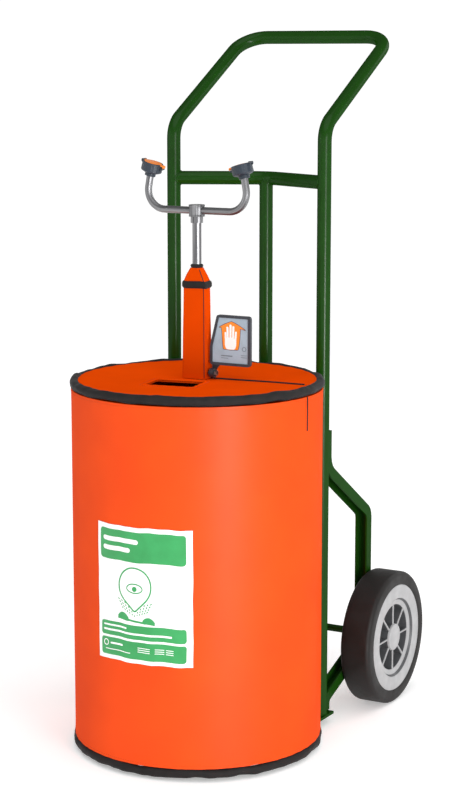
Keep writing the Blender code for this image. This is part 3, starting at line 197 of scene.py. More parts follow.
def tinted(tree, cloud, code, deep, share=1.0, start=0.3, end=0.7):
    """A display colour that turns into another, or part of the way, where the noise is high."""
    return mixed(tree, spread(tree, cloud, 0.0, share, start, end), linear(code), linear(deep))


def relief(tree, height, depth, under=None):
    """Bump of a real depth in metres, on top of another bump."""
    inputs = {"Height": height, "Distance": depth, "Strength": 1.0}
    if under is not None:
        inputs["Normal"] = under
    return add(tree, "Bump", inputs).outputs["Normal"]


def wire(material, colour=None, roughness=None, normal=None):
    """Feeds a material's shader, and gives the material back."""
    tree = material.node_tree
    for name, socket in (("Base Color", colour), ("Roughness", roughness), ("Normal", normal)):
        if socket is not None:
            tree.links.new(socket, tree.nodes["Principled BSDF"].inputs[name])
    return material


@made_once
def vinyl_coated_nylon(name, code, deep, gloss):
    # PVC-coated woven nylon: an even strong colour with a soft plastic sheen over a faint weave.
    # The threads are 1.2 mm apart in reality and drawn at 2.4 mm so that they show.
    material, tree = new_material(
        name, Specular_IOR_Level=0.0, Coat_Weight=gloss, Coat_IOR=2.5, Coat_Roughness=0.46
    )
    where = position(tree)
    cloud = mottle(tree, where, 120 * MM, 2.0)
    colour = tinted(tree, cloud, code, deep)
    threads = [ribs(tree, 2.4 * MM, direction, Distortion=0.4) for direction in ("X", "Y")]
    weave = maths(tree, "MULTIPLY", *threads)
    soft = relief(tree, mottle(tree, where, 70 * MM, 1.0), 0.5 * MM)
    return wire(material, colour, spread(tree, cloud, 0.46, 0.5), relief(tree, weave, 0.06 * MM, soft))


@made_once
def polyester_webbing(name, code, pale, pitch=1.6 * MM):
    # Woven polyester tape: matt black ribs across the band, a little greyed where it is rubbed.
    material, tree = new_material(
        name, Specular_IOR_Level=0.2, Sheen_Weight=0.04, Sheen_Roughness=0.4
    )
    where = position(tree)
    across = ribs(tree, pitch, "X", Distortion=0.8, Detail=1.0)
    worn = mottle(tree, where, 14 * MM, 4.0)
    colour = tinted(tree, worn, code, pale, 0.8)
    bump = relief(tree, across, 0.18 * MM, relief(tree, worn, 0.4 * MM))
    return wire(material, colour, spread(tree, worn, 0.62, 0.8), bump)


@made_once
def closed_cell_foam(name, code, deep):
    # Closed-cell foam: matt, pale, with cells of about 1 mm drawn at 2 mm.
    material, tree = new_material(name)
    where = position(tree)
    cells = add(tree, "TexVoronoi", {"Vector": where, "Scale": 1 / (2 * MM)}).outputs["Distance"]
    colour = mixed(tree, mottle(tree, where, 40 * MM), linear(code), linear(deep))
    return wire(material, colour, spread(tree, cells, 0.8, 0.95), relief(tree, cells, 0.3 * MM))


@made_once
def printed_film(name, code, deep, gloss=0.34):
    # Screen-printed vinyl film: flat bright ink under a smooth, slightly rippled gloss.
    material, tree = new_material(name, Coat_Weight=0.2, Coat_Roughness=0.2)
    where = position(tree)
    cloud = mottle(tree, where, 30 * MM, 3.0)
    grain = mottle(tree, where, 1.5 * MM, 2.0)
    colour = tinted(tree, cloud, code, deep)
    bump = relief(tree, cloud, 0.5 * MM, relief(tree, grain, 0.02 * MM))
    return wire(material, colour, spread(tree, grain, gloss - 0.05, gloss + 0.08), bump)


@made_once
def enamel_on_steel(name, code, deep, primer):
    # Stoved enamel on steel tube: deep gloss with orange peel of 3 mm, and small chips near the floor.
    material, tree = new_material(
        name, Specular_IOR_Level=0.0, Coat_Weight=0.06, Coat_IOR=2.5, Coat_Roughness=0.2
    )
    where = position(tree)
    cloud = mottle(tree, where, 60 * MM)
    peel = mottle(tree, where, 3 * MM, 1.0)
    base = tinted(tree, cloud, code, deep)
    flaw = mottle(tree, where, 7 * MM, 5.0, 0.7)
    height = add(tree, "SeparateXYZ", {"Vector": where}).outputs["Z"]
    edge = maths(tree, "SUBTRACT", 0.74, spread(tree, height, 0.07, 0.0, 0.02, 0.09))
    over = maths(tree, "SUBTRACT", flaw, edge)
    chips = maths(tree, "MULTIPLY", over, 40.0, use_clamp=True)
    colour = mixed(tree, chips, base, linear(primer))
    bump = relief(tree, peel, 0.06 * MM, relief(tree, chips, -0.12 * MM))
    return wire(material, colour, spread(tree, cloud, 0.24, 0.34), bump)


@made_once
def drawn_metal(name, code, deep, stretch, low=0.16, high=0.34, space="Object"):
    # Drawn or turned metal: fine tool lines in one direction that stretch each highlight. The lines are
    # drawn about 3 mm wide so that they show. Streaks of colour along them, some lighter and some darker, are
    # painted reflections.
    material, tree = new_material(name, Metallic=1.0, Anisotropic=0.4)
    where = position(tree, stretch, space)
    lines = mottle(tree, where, 1.2 * MM, 4.0)
    bands = mottle(tree, where, 6 * MM, 2.0)
    # Painted reflections: lighter and darker streaks of colour along the draw.
    colour = tinted(tree, bands, code, deep, 1.0, 0.38, 0.62)
    return wire(material, colour, spread(tree, lines, low, high), relief(tree, lines, 0.03 * MM))


@made_once
def moulded_plastic(name, code, deep, low=0.38, high=0.5):
    # Injection-moulded plastic: an even colour with a spark-eroded grain and a satin highlight.
    material, tree = new_material(name, Specular_IOR_Level=0.46)
    where = position(tree)
    grain = mottle(tree, where, 0.7 * MM, 2.0)
    flow = mottle(tree, where, 22 * MM, 3.0)
    colour = tinted(tree, flow, code, deep)
    return wire(material, colour, spread(tree, flow, low, high), relief(tree, grain, 0.05 * MM))


@made_once
def vulcanised_rubber(name, code, dust):
    # Vulcanised rubber: near black and matt, dusty in patches, with a moulded skin.
    material, tree = new_material(name, Specular_IOR_Level=0.35)
    where = position(tree)
    patches = mottle(tree, where, 28 * MM, 6.0, 0.6)
    skin = mottle(tree, where, 1.6 * MM, 3.0)
    colour = tinted(tree, patches, code, dust, 0.7)
    return wire(material, colour, spread(tree, patches, 0.5, 0.72), relief(tree, skin, 0.09 * MM))


@made_once
def clear_polycarbonate(name):
    # Moulded clear polycarbonate: sharp reflections, with faint rub marks.
    glass = linear("F4F8F8")
    material, tree = new_material(name, Transmission_Weight=1.0, IOR=1.58, Base_Color=glass)
    rubs = mottle(tree, position(tree, (1, 6, 1)), 4 * MM, 4.0)
    return wire(material, None, spread(tree, rubs, 0.02, 0.09), relief(tree, rubs, 0.01 * MM))


@made_once
def painted_floor(name):
    # Matt white emulsion on a studio floor, with faint clouds and a little light of its own.
    white = (1, 1, 1, 1)
    material, tree = new_material(
        name, Specular_IOR_Level=0.1, Emission_Color=white, Emission_Strength=0.34
    )
    cloud = mottle(tree, position(tree), 0.4, 2.0)
    return wire(material, tinted(tree, cloud, "F6F6F6", "F2F2F2"), spread(tree, cloud, 0.7, 0.8))


def finishes():
    """Every finish by the name of what it is."""
    settings = bpy.context.scene.eyewash
    nylon, steel = "vinyl_coated_nylon_orange", (0.32, 0.46)
    return {
        "cover": vinyl_coated_nylon(nylon, settings.cover_colour, "DF4200", 0.1),
        # Painted light: the lid's copy of the cover cloth is painted lighter than the wall, for the light that
        # falls on its top.
        "cover_lid_painted_light": vinyl_coated_nylon(nylon + "_worn_flat", "F44D00", "EA4900", 0.008),
        # Painted shade: the sleeve's copy of the cover cloth is painted darker than the wall, for the shade on
        # its faces.
        "cover_sleeve_painted_shade": vinyl_coated_nylon(nylon + "_sleeve", "D64300", "CC3F00", 0.008),
        "thread": polyester_webbing("bonded_polyester_thread_orange", "B83800", "DC5A18", 0.8 * MM),
        # Black thread for stitches, and for the dark cords that are painted shadow lines along the lid's seam
        # and the wall's slit.
        "black_thread_and_shadow_line": polyester_webbing("bonded_polyester_thread_black", "161616", "2A2A2C", 0.8 * MM),
        "binding": polyester_webbing("polyester_webbing_black", "161515", "262323"),
        "foam": closed_cell_foam("closed_cell_foam_grey", "B9B9B4", "9D9D98"),
        "film": printed_film("screen_printed_vinyl_white", "F8F9F8", "EDF0EE"),
        "film_green": printed_film("screen_printed_vinyl_green", settings.label_colour, "2E9C55"),
        "film_orange": printed_film("screen_printed_film_orange", "F48A08", "EE7D00"),
        # Painted shade: a darker grey for the rim's pocket floors, the ring down its step and the spokes'
        # lower bars, where the recesses are in shade.
        "rim_painted_shade": moulded_plastic("moulded_nylon_dark_grey", "4C4D4F", "424345"),
        "film_ink": printed_film("screen_printed_film_grey_ink", "5E6B74", "707D86"),
        "enamel": enamel_on_steel("stoved_enamel_green_on_steel", settings.enamel_colour, "153A0A", "5A5148"),
        "stainless": drawn_metal("drawn_stainless_tube", "949496", "565658", (1, 1, 0.03), *steel),
        "stainless_arm": drawn_metal("bent_stainless_tube", "949496", "5A5A5C", (1, 0.03, 1), *steel, "UV"),
        "stainless_sheet": drawn_metal("pressed_stainless_sheet", "B4B4B2", "8C8C8B", (1, 1, 0.2), 0.3, 0.45),
        "zinc": drawn_metal("zinc_plated_steel", "B8BAB6", "8E908A", (1, 0.3, 1), 0.3, 0.46),
        "brass": drawn_metal("turned_brass", "C9A35A", "94702F", (1, 1, 0.3)),
        "slate": moulded_plastic("moulded_abs_slate", "28323E", "202933"),
        "charcoal": moulded_plastic("moulded_nylon_charcoal", "363B44", "2A2E35"),
        "orange_cap": moulded_plastic("moulded_polypropylene_orange", "F58A22", "EC7A10", 0.3, 0.42),
        "flag_face": printed_film("moulded_acrylic_grey", "A0B3C1", "91A3B0", 0.3),
        "rim": moulded_plastic("moulded_nylon_light_grey", "A6A6A7", "9A9A9B", 0.36, 0.48),
        "nylon": moulded_plastic("turned_nylon_white", "E4E4DE", "D5D5CE"),
        "red": moulded_plastic("moulded_acetal_red", "B5201B", "9C1915", 0.3, 0.4),
        "rubber": vulcanised_rubber("vulcanised_rubber_black", "100E0D", "1F1B1A"),
        "lens": clear_polycarbonate("moulded_polycarbonate_clear"),
        "dial": printed_film("printed_aluminium_dial_white", "F2F2EE", "E6E6E0", 0.4),
    }


NODE_FINISHES = {
    "enamel": "frame_tube upper_cross_bar lower_cross_bar centre_post toe_plate axle axle_bracket_left"
    " axle_bracket_right",
    "stainless": "riser_pipe riser_yoke dip_tube hinge_pin_left hinge_pin_right arm_left arm_right valve_ball",
    "stainless_sheet": "tank_shell tank_foot_ring gauge_case spray_face_left spray_face_right",
    "zinc": "axle_nut_left axle_nut_right lever_nut",
    "brass": "outlet_manifold relief_valve valve_body",
    "slate": "spray_head_left spray_head_right fill_cap air_valve",
    "charcoal": "flag_trim flag_lever",
    "orange_cap": "dust_cover_left dust_cover_right",
    "flag_face": "flag_plate",
    "rim": "wheel_rim_left wheel_rim_right hub_cap_left hub_cap_right",
    "nylon": "hub_bush_left hub_bush_right valve_seat_lower valve_seat_upper",
    "red": "gauge_needle relief_knob",
    "rubber": "tyre_left tyre_right foot_pad",
    "lens": "gauge_lens",
    "dial": "gauge_dial",
    "cover": "jacket_wall",
    "cover_lid_painted_light": "jacket_lid",
    "cover_sleeve_painted_shade": "riser_sleeve",
    "binding": "top_binding bottom_binding sleeve_strap neck_band",
    "foam": "insulation_liner",
    "film": "label",
}


# ---------------------------------------------------------------- mesh tools


def turns(count):
    """Even turns round a circle."""
    return [2 * math.pi * k / count for k in range(count)]


def at_turn(radius, turn, height):
    """A point round the Z axis. The turn starts at +X and goes to +Y."""
    return Vector((radius * math.cos(turn), radius * math.sin(turn), height))


def even_steps(start, end, count):
    """Even values from the start to the end, with both."""
    return [start + (end - start) * k / count for k in range(count + 1)]


def box_middle(name):
    low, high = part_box(name)
    return (low + high) / 2


def bar_faces(start, rows, count):
    """The faces of a closed bar: rings of count points, numbered from start, and both its ends."""
    faces = []
    for i in range(rows - 1):
        a, b = start + i * count, start + (i + 1) * count
        for k in range(count):
            m = (k + 1) % count
            faces.append((a + k, a + m, b + m, b + k))
    last = start + (rows - 1) * count
    return faces + [tuple(range(start, start + count)), tuple(range(last, last + count))]


def make_piece(name, verts, faces, material, body, uvs=None, slots=None, closed=True, sharp=40.0):
    """An object from its vertices and faces, facing out, smooth, and riding on a body."""
    mesh = bpy.data.meshes.new(name)
    mesh.from_pydata([tuple(v) for v in verts], [], faces)
    for each in material if isinstance(material, list) else [material]:
        mesh.materials.append(each)
    if slots is not None:
        mesh.polygons.foreach_set("material_index", slots)
    if uvs is not None:
        layer = mesh.uv_layers.new(name="cloth")
        layer.data.foreach_set("uv", [value for uv in uvs for value in uv])
    if closed:
        shape = bmesh.new()
        shape.from_mesh(mesh)
        bmesh.ops.recalc_face_normals(shape, faces=shape.faces)
        shape.to_mesh(mesh)
        shape.free()
    mesh.shade_smooth()
    mesh.set_sharp_from_angle(angle=math.radians(sharp))
    piece = bpy.data.objects.new(name, mesh)
    bpy.context.scene.collection.objects.link(piece)
    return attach(piece, body)


def running_lengths(points, close):
    """How far along a line each point is, starting at 0."""
    ends = points[1:] + ([points[0]] if close else [])
    total = [0.0]
    for here, there in zip(points, ends):
        total.append(total[-1] + (Vector(there) - Vector(here)).length)
    return total


def loft(name, rings, material, body="cart", wrap=False, **options):
    """A closed skin over rings of points. With wrap, the last ring joins the first."""
    count, rows = len(rings[0]), len(rings)
    around = running_lengths([Vector(p) for p in rings[0]], True)
    along = running_lengths([Vector(ring[0]) for ring in rings], wrap)
    faces, uvs = [], []
    for i in range(rows if wrap else rows - 1):
        j = (i + 1) % rows
        for k in range(count):
            m = (k + 1) % count
            faces.append((i * count + k, i * count + m, j * count + m, j * count + k))
            left, right, low, high = around[k], around[k + 1], along[i], along[i + 1]
            uvs += [(left, low), (right, low), (right, high), (left, high)]
    if not wrap:
        for start in (0, (rows - 1) * count):
            faces.append(tuple(range(start, start + count)))
            uvs += [(0.0, 0.0)] * count
    verts = [p for ring in rings for p in ring]
    return make_piece(name, verts, faces, material, body, uvs, **options)


def path_rings(points, radius, sides, close=False):
    """Round rings along a path. The radius is a number, or a function of the step and the turn."""
    count = len(points)
    size = radius if callable(radius) else lambda step, turn: radius
    rings = []
    side = None
    for i, point in enumerate(points):
        before = points[i - 1] if i > 0 or close else point
        after = points[(i + 1) % count] if i < count - 1 or close else point
        ahead = (after - before).normalized()
        if side is None:
            side = ahead.orthogonal().normalized()
        side = (side - ahead * side.dot(ahead)).normalized()
        up = ahead.cross(side)
        ring = [(side * math.cos(t) + up * math.sin(t)) * size(i, t) for t in turns(sides)]
        rings.append([point + arm for arm in ring])
    return rings


def bent_line(corners, radii, steps=10):
    """The points of a path whose inner corners are rounded. Radii has one for each inner corner."""
    corners = [Vector(c) for c in corners]
    points = [corners[0]]
    for before, corner, after, radius in zip(corners, corners[1:], corners[2:], radii):
        back = (before - corner).normalized()
        ahead = (after - corner).normalized()
        half_angle = back.angle(ahead) / 2
        start = corner + back * (radius / math.tan(half_angle))
        centre = corner + (back + ahead).normalized() * (radius / math.sin(half_angle))
        arm = start - centre
        turn = math.pi - 2 * half_angle
        spin_axis = arm.cross(back).normalized()
        for i in range(steps + 1):
            points.append(centre + Matrix.Rotation(-turn * i / steps, 3, spin_axis) @ arm)
    points.append(corners[-1])
    return points


def spaced(points, gap):
    """The points with more between them, no further apart than the gap."""
    line = [points[0]]
    for here, there in zip(points, points[1:]):
        count = max(1, math.ceil((there - here).length / gap))
        line += [here.lerp(there, k / count) for k in range(1, count + 1)]
    return line


def lathe(name, outline, centre, out, material, body, sides=96):
    """A shape turned about the X axis. The outline is a closed loop of radius and height along out."""
    rings = []
    for radius, height in outline:
        spots = [(out * height, radius * math.cos(t), radius * math.sin(t)) for t in turns(sides)]
        rings.append([centre + Vector(spot) for spot in spots])
    return loft(name, rings, material, body, wrap=True, sharp=32)


def on_wall(angle, height, out=0.0):
    """A point on the cover's wall. The angle starts at +X and turns to +Y."""
    return at_turn(WALL_RADIUS + out, angle, height)


def stitch_row(name, places, material, body="cart", length=3.4 * MM, thick=0.42 * MM):
    """A row of stitches. Each place is a centre, the way along the row and the way out."""
    profile = ((-1.0, 0.25), (-0.6, 0.85), (0.0, 1.0), (0.6, 0.85), (1.0, 0.25))
    sides = 6
    verts, faces = [], []
    for centre, along, out in places:
        across = along.cross(out).normalized()
        start = len(verts)
        for share, fat in profile:
            dip = out * (thick * (0.5 - abs(share)))
            for turn in turns(sides):
                arm = (across * math.cos(turn) + out * math.sin(turn)) * (thick * fat)
                verts.append(centre + along * (share * length / 2) + dip + arm)
        faces += bar_faces(start, len(profile), sides)
    return make_piece(name, verts, faces, material, body)


def places_along(points, pitch, outward):
    """Stitch places at a pitch along a line of points. Outward gives the way out at a point."""
    total = running_lengths(points, False)
    count = int(total[-1] / pitch)
    places = []
    step = 0
    for n in range(count):
        target = (n + 0.5) * total[-1] / count
        while total[step + 1] < target:
            step += 1
        share = (target - total[step]) / (total[step + 1] - total[step])
        centre = points[step].lerp(points[step + 1], share)
        along = (points[step + 1] - points[step]).normalized()
        places.append((centre, along, outward(centre)))
    return places


def outward_from_axis(point):
    return Vector((point.x, point.y, 0)).normalized()


def upward(point):
    return Vector((0, 0, 1))


def sew(name, lines, pitch, material, outward=outward_from_axis, length=3.4 * MM):
    """Rows of stitches at a pitch along lines of points."""
    places = [place for line in lines for place in places_along(line, pitch, outward)]
    return stitch_row(name, places, material, length=length)


def dark_cord(name, line, radius, finish):
    """A dark cord along a line. Along the lid's seam and the wall's slit it is a painted shadow line."""
    cord = loft(name, path_rings(line, radius, 8), finish["black_thread_and_shadow_line"])
    return cord


def cut_with(piece, cutter):
    """Cuts a shape out of a piece and removes the cutter."""
    modifier = piece.modifiers.new("cut", "BOOLEAN")
    modifier.operation = "DIFFERENCE"
    modifier.solver = "EXACT"
    modifier.object = cutter
    bpy.context.view_layer.update()
    depsgraph = bpy.context.evaluated_depsgraph_get()
    shaped = bpy.data.meshes.new_from_object(piece.evaluated_get(depsgraph))
    piece.modifiers.clear()
    piece.data = shaped
    bpy.data.objects.remove(cutter)
    piece.data.shade_smooth()
    piece.data.set_sharp_from_angle(angle=math.radians(30))


def rounded_outline(width, depth, corner, steps=5):
    """The points of a rectangle with round corners, round its middle."""
    points = []
    for number, (sx, sy) in enumerate(((1, 1), (-1, 1), (-1, -1), (1, -1))):
        x, y = sx * (width / 2 - corner), sy * (depth / 2 - corner)
        for k in range(steps + 1):
            turn = math.pi / 2 * (number + k / steps)
            points.append((x + corner * math.cos(turn), y + corner * math.sin(turn)))
    return points


def upright_prism(name, outline, material, place, turn):
    """A prism through the whole lid, to cut it with."""
    rings = []
    for height in (LID_LOW.z, LID_HIGH.z + 5 * MM):
        ring = []
        for x, y in outline:
            spot = Matrix.Rotation(turn, 2) @ Vector((x, y))
            ring.append(Vector((spot.x + place[0], spot.y + place[1], height)))
        rings.append(ring)
    return loft(name, rings, material)


# ---------------------------------------------------------------- the cover


def wall_offset(angle, height):
    """How far the wall's cloth stands in or out: soft waves, puckers at its hems and the slit's lips."""
    depth = bpy.context.scene.eyewash.pucker_depth
    round_trip = Vector((math.cos(angle), math.sin(angle), 0)) * 2.4
    waves = noise.noise(round_trip + Vector((0, 0, height * 3.0))) * 0.45 * MM
    hem = min(WALL_HIGH.z - height, height - WALL_LOW.z)
    rough = noise.noise(Vector((math.cos(angle) * 26, math.sin(angle) * 26, 3.7)))
    ripple = math.sin(angle * 46 + 5 * rough)
    puckers = ripple * depth * math.exp(-max(hem, 0) / (11 * MM))
    off = abs(angle - SLIT_TURN) * WALL_RADIUS
    slit = 0.0
    if height > LID_HIGH.z - SLIT_LENGTH and off < 12 * MM:
        slit = -6.5 * MM if off < 1.5 * MM else 1.0 * MM * math.exp(-off / (4 * MM))
    flap = 0.0
    across = (angle - math.pi / 2) * WALL_RADIUS
    if abs(across) < 26 * MM:
        flap = 1.1 * MM
    return waves + puckers + slit + flap


def wall_angles():
    """Even steps round the wall, with close ones at the slit and at the flap's edges."""
    angles = {round(2 * math.pi * k / 220, 6) for k in range(-110, 110)}
    for middle, offs in (
        (SLIT_TURN, (-6, -4, -2.6, -1.6, -1.4, 1.4, 1.6, 2.6, 4, 6)),
        (math.pi / 2, (-26.4, -25.8, 25.8, 26.4)),
    ):
        angles.update(round(middle + off * MM / WALL_RADIUS, 6) for off in offs)
    return sorted(angles)


def build_wall(finish):
    angles = wall_angles()
    top, low = WALL_HIGH.z, WALL_LOW.z
    slit_end = LID_HIGH.z - SLIT_LENGTH
    close = [slit_end - 0.4 * MM, slit_end + 0.4 * MM, top - 3 * MM, low + 3 * MM]
    heights = sorted(even_steps(low, top, 74) + close)
    rings = [[on_wall(a, z, wall_offset(a, z)) for a in angles] for z in heights]
    inside = WALL_INNER - WALL_RADIUS
    rings += [[on_wall(a, z, inside) for a in angles] for z in (top, (top + low) / 2, low)]
    wall = loft("cover_wall", rings, finish["cover"], wrap=True)
    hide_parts("jacket_wall")

    def row(spots):
        return [on_wall(a, z, wall_offset(a, z) + 0.1 * MM) for a, z in spots]

    thread = finish["thread"]
    for height, name in ((top - 4.5 * MM, "top"), (low + 4.5 * MM, "low")):
        line = row([(a, height) for a in angles])
        sew(f"cover_stitches_{name}", [line], 5 * MM, thread)
    for off, name in ((-22, "left"), (22, "right")):
        angle = math.pi / 2 + off * MM / WALL_RADIUS
        line = row([(angle, z) for z in even_steps(low + 12 * MM, top - 12 * MM, 60)])
        sew(f"cover_stitches_flap_{name}", [line], 5 * MM, thread)
    steps = even_steps(slit_end, top - 6 * MM, 20)
    lines = [row([(SLIT_TURN + off * MM / WALL_RADIUS, z) for z in steps]) for off in (-5.0, 5.0)]
    sew("cover_stitches_slit", lines, 4.4 * MM, thread)
    steps = even_steps(slit_end, top, 20)
    line = [on_wall(SLIT_TURN, z, wall_offset(SLIT_TURN + 0.03, z) + 0.6 * MM) for z in steps]
    # Painted shadow: a dark cord over the slit's gap, for the shade in it.
    dark_cord("slit_piping", line, 1.4 * MM, finish)


def lid_height(x, y):
    """The lid's top surface, nearly flat, drawn down a little where it meets its binding."""
    radius = math.hypot(x, y)
    wave = noise.noise(Vector((x * 11, y * 11, 4.2))) * 0.5 * MM
    ripple = math.sin(math.atan2(y, x) * 40) * 0.25 * MM * math.exp(-(LID_HIGH.x - radius) / (9 * MM))
    return LID_HIGH.z - 0.6 * MM + wave + ripple


def on_lid(point, lift):
    """A point over the lid's top surface."""
    x, y = point[0], point[1]
    return Vector((x, y, lid_height(x, y) + lift))


def build_lid(finish):
    steps = 26
    edge = LID_HIGH.x + 2.0 * MM
    radii = [edge * (k / steps) ** 0.9 for k in range(1, steps + 1)]
    rings = []
    for radius, lift in [(r, 0) for r in radii] + [(edge, -LID_SKIN), (radii[0], -LID_SKIN)]:
        rings.append([on_lid(at_turn(radius, t, 0), lift) for t in turns(144)])
    # The lid's cloth is a copy of the cover's painted lighter: painted light on its top.
    lid = loft("cover_lid", rings, finish["cover_lid_painted_light"])
    window = rounded_outline(*WINDOW_SIZE, 4 * MM)
    hole = rounded_outline(43 * MM, 26 * MM, 3 * MM)
    start, end = (Vector(p) for p in SEAM_ENDS)
    middle, way = (start + end) / 2, (end - start)
    seam = rounded_outline(way.length, SEAM_WIDTH, 0.6 * MM, 2)
    seam_turn = math.atan2(way.y, way.x)
    cuts = ((window, WINDOW_CENTRE, WINDOW_TURN), (hole, (0, 0), 0.0), (seam, middle, seam_turn))
    for outline, place, turn in cuts:
        cut_with(lid, upright_prism("cutter", outline, finish["cover_lid_painted_light"], place, turn))
    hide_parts("jacket_lid")

    def window_line(extra, corner):
        """The window's outline, or one round it."""
        turn = Matrix.Rotation(WINDOW_TURN, 2)
        outline = rounded_outline(*(size + extra for size in WINDOW_SIZE), corner, 8)
        return [turn @ Vector(p) + Vector(WINDOW_CENTRE) for p in outline]

    outline = window_line(0, 4 * MM)
    path = []
    for here, there in zip(outline, outline[1:] + outline[:1]):
        count = max(1, round((there - here).length / (5 * MM)))
        path += [on_lid(here.lerp(there, k / count), -0.5 * MM) for k in range(count)]
    rings = path_rings(path, lambda i, t: 1.7 * MM + 0.2 * MM * math.sin(i * 1.9), 10, True)
    loft("window_rolled_edge", rings, finish["cover_lid_painted_light"], wrap=True)
    outline = window_line(11 * MM, 8 * MM)
    lines = [[on_lid(p, 0.15 * MM) for p in outline + outline[:1]]]
    across = Vector((-way.y, way.x)).normalized()
    for side in (-1, 1):
        ends = [start + across * side * 4 * MM + way * share for share in (0.06, 0.96)]
        lines.append([on_lid(ends[0].lerp(ends[1], k / 40), 0.15 * MM) for k in range(41)])
    sew("lid_stitches", lines, 4.6 * MM, finish["thread"], upward)
    line = [on_lid(start + way * (0.03 + 0.94 * k / 50), 0.9 * MM) for k in range(51)]
    # Painted shadow: a dark cord along the seam, for the shade under the flap's step.
    dark_cord("lid_seam_piping", line, 1.6 * MM, finish)


def binding_path(height, start, end, count, seed):
    """The middle line of a binding, which wanders a little up, down, in and out."""
    points = []
    for k in range(count):
        angle = start + (end - start) * k / count
        spin = Vector((math.cos(angle) * 3.2, math.sin(angle) * 3.2, seed))
        quick = Vector((math.cos(angle) * 10, math.sin(angle) * 10, seed + 4))
        rise = noise.noise(spin) * 2.2 * MM + noise.noise(quick) * 1.2 * MM
        sway = noise.noise(spin * 2 + Vector((9, 0, 0))) * 1.4 * MM - 0.4 * MM
        points.append(at_turn(BINDING_RING + sway, angle, height + rise))
    return points


def binding_section(seed):
    """The binding's radius at each step and turn: full, with gathers."""

    def radius(step, turn):
        around = Vector((step * 0.12, math.cos(turn) * 0.9, math.sin(turn) * 0.9 + seed))
        gather = noise.noise(around) * 1.8 * MM + noise.noise(around * 3.1) * 0.3 * MM
        fold = 0.12 * MM * math.sin(step * 1.13 + 2 * turn)
        return BINDING_RADIUS - 0.5 * MM + gather + fold

    return radius


def build_bindings(finish):
    count = 330
    section = binding_section(2.0)
    height = box_middle("top_binding").z
    line = binding_path(height, 0, 2 * math.pi, count, 1.3)
    top = loft("cover_binding_top", path_rings(line, section, 16, True), finish["binding"], wrap=True)
    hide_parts("top_binding")
    down = math.radians(-38)
    row = []
    for step, point in enumerate(line + line[:1]):
        reach = section(step % count, down) + 0.5 * MM
        arm = outward_from_axis(point) * reach * math.cos(down)
        row.append(point + arm + Vector((0, 0, reach * math.sin(down))))

    reach = math.acos((PLATE_HIGH.x + 2 * MM) / BINDING_RING)
    height = box_middle("bottom_binding").z
    line = binding_path(height, -math.pi - reach, reach, 270, 5.1)
    full = binding_section(6.0)
    last = len(line) - 1

    def closing(step, turn):
        """The section, which closes at both ends."""
        ends = min(step, last - step)
        return full(step, turn) * (0.25 + 0.75 * min(1.0, ends / 3) ** 0.5)

    low = loft("cover_binding_low", path_rings(line, closing, 16), finish["binding"])
    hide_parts("bottom_binding")
    sew("binding_stitches", [row], 5.2 * MM, finish["black_thread_and_shadow_line"])


def build_liner(finish):
    low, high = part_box("insulation_liner")
    outer, inner = high.x - 0.6 * MM, high.x - 8.4 * MM
    rings = []
    for radius, rows in ((outer, (0.0, 0.35, 0.7, 1.0)), (inner, (1.0, 0.5, 0.0))):
        for row in rows:
            ring = []
            for a in turns(96):
                rise = noise.noise(Vector((math.cos(a) * 3, math.sin(a) * 3, 7))) * 2.5 * MM * row
                spot = low.z + (high.z - low.z - 3 * MM) * row + rise
                ring.append(at_turn(radius, a, spot))
            rings.append(ring)
    liner = loft("foam_liner", rings, finish["foam"], wrap=True)
    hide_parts("insulation_liner")


# ---------------------------------------------------------------- the sleeve


def sleeve_ring(half_x, half_y, power, height, stand=0.0, seam=0.0, pleat=0.0):
    """A soft rectangle round the riser. A high power makes it square, a power of 2 makes it round."""
    ring = []
    corner_turn = math.atan2(-half_y, half_x) % (2 * math.pi)
    for turn in turns(96):
        c, s = math.cos(turn), math.sin(turn)
        x = (half_x + stand) * math.copysign(abs(c) ** (2 / power), c)
        y = (half_y + stand) * math.copysign(abs(s) ** (2 / power), s)
        spot_turn = math.atan2(y, x) % (2 * math.pi)
        corner = math.exp(-(((spot_turn - corner_turn) / math.radians(3.5)) ** 2))
        crease = noise.noise(Vector((x * 60, y * 60, height * 18))) * 0.8 * MM
        grow = 1 + (corner * seam + crease + pleat * math.sin(9 * turn + 0.6)) / max(math.hypot(x, y), MM)
        ring.append(Vector((x * grow, y * grow, height)))
    return ring


def sleeve_corner(height, out=0.0):
    """A point on the fold that runs down the sleeve's front right edge."""
    half_x, half_y, power = sleeve_shape(height)[:3]
    share = 0.5 ** (1 / power)
    return Vector((half_x * share + out, -half_y * share - out, height))


def sleeve_shape(height):
    """Half widths, squareness and pleat depth of the sleeve at a height."""
    base_x, base_y = (SLEEVE_HIGH.x - 0.3 * MM), (SLEEVE_HIGH.y - 0.3 * MM)
    top_x, top_y = (STRAP_HIGH.x - 3.0 * MM), (STRAP_HIGH.y - 3.0 * MM)
    neck = 9.6 * MM
    if height < STRAP_HIGH.z:
        share = min(1.0, (height - SLEEVE_LOW.z) / (STRAP_LOW.z - SLEEVE_LOW.z))
        gather = 0.2 * MM * math.exp(-abs(height - STRAP_LOW.z) / (7 * MM))
        return base_x + (top_x - base_x) * share, base_y + (top_y - base_y) * share, 12.0, gather
    share = (height - STRAP_HIGH.z) / (SLEEVE_HIGH.z - STRAP_HIGH.z)
    bulge = 0.4 * MM * math.sin(math.pi * share)
    half_x = top_x + (neck - top_x) * share + bulge
    half_y = top_y + (neck - top_y) * share + bulge
    return half_x, half_y, 12.0 - 8.0 * share, 0.25 * MM * share


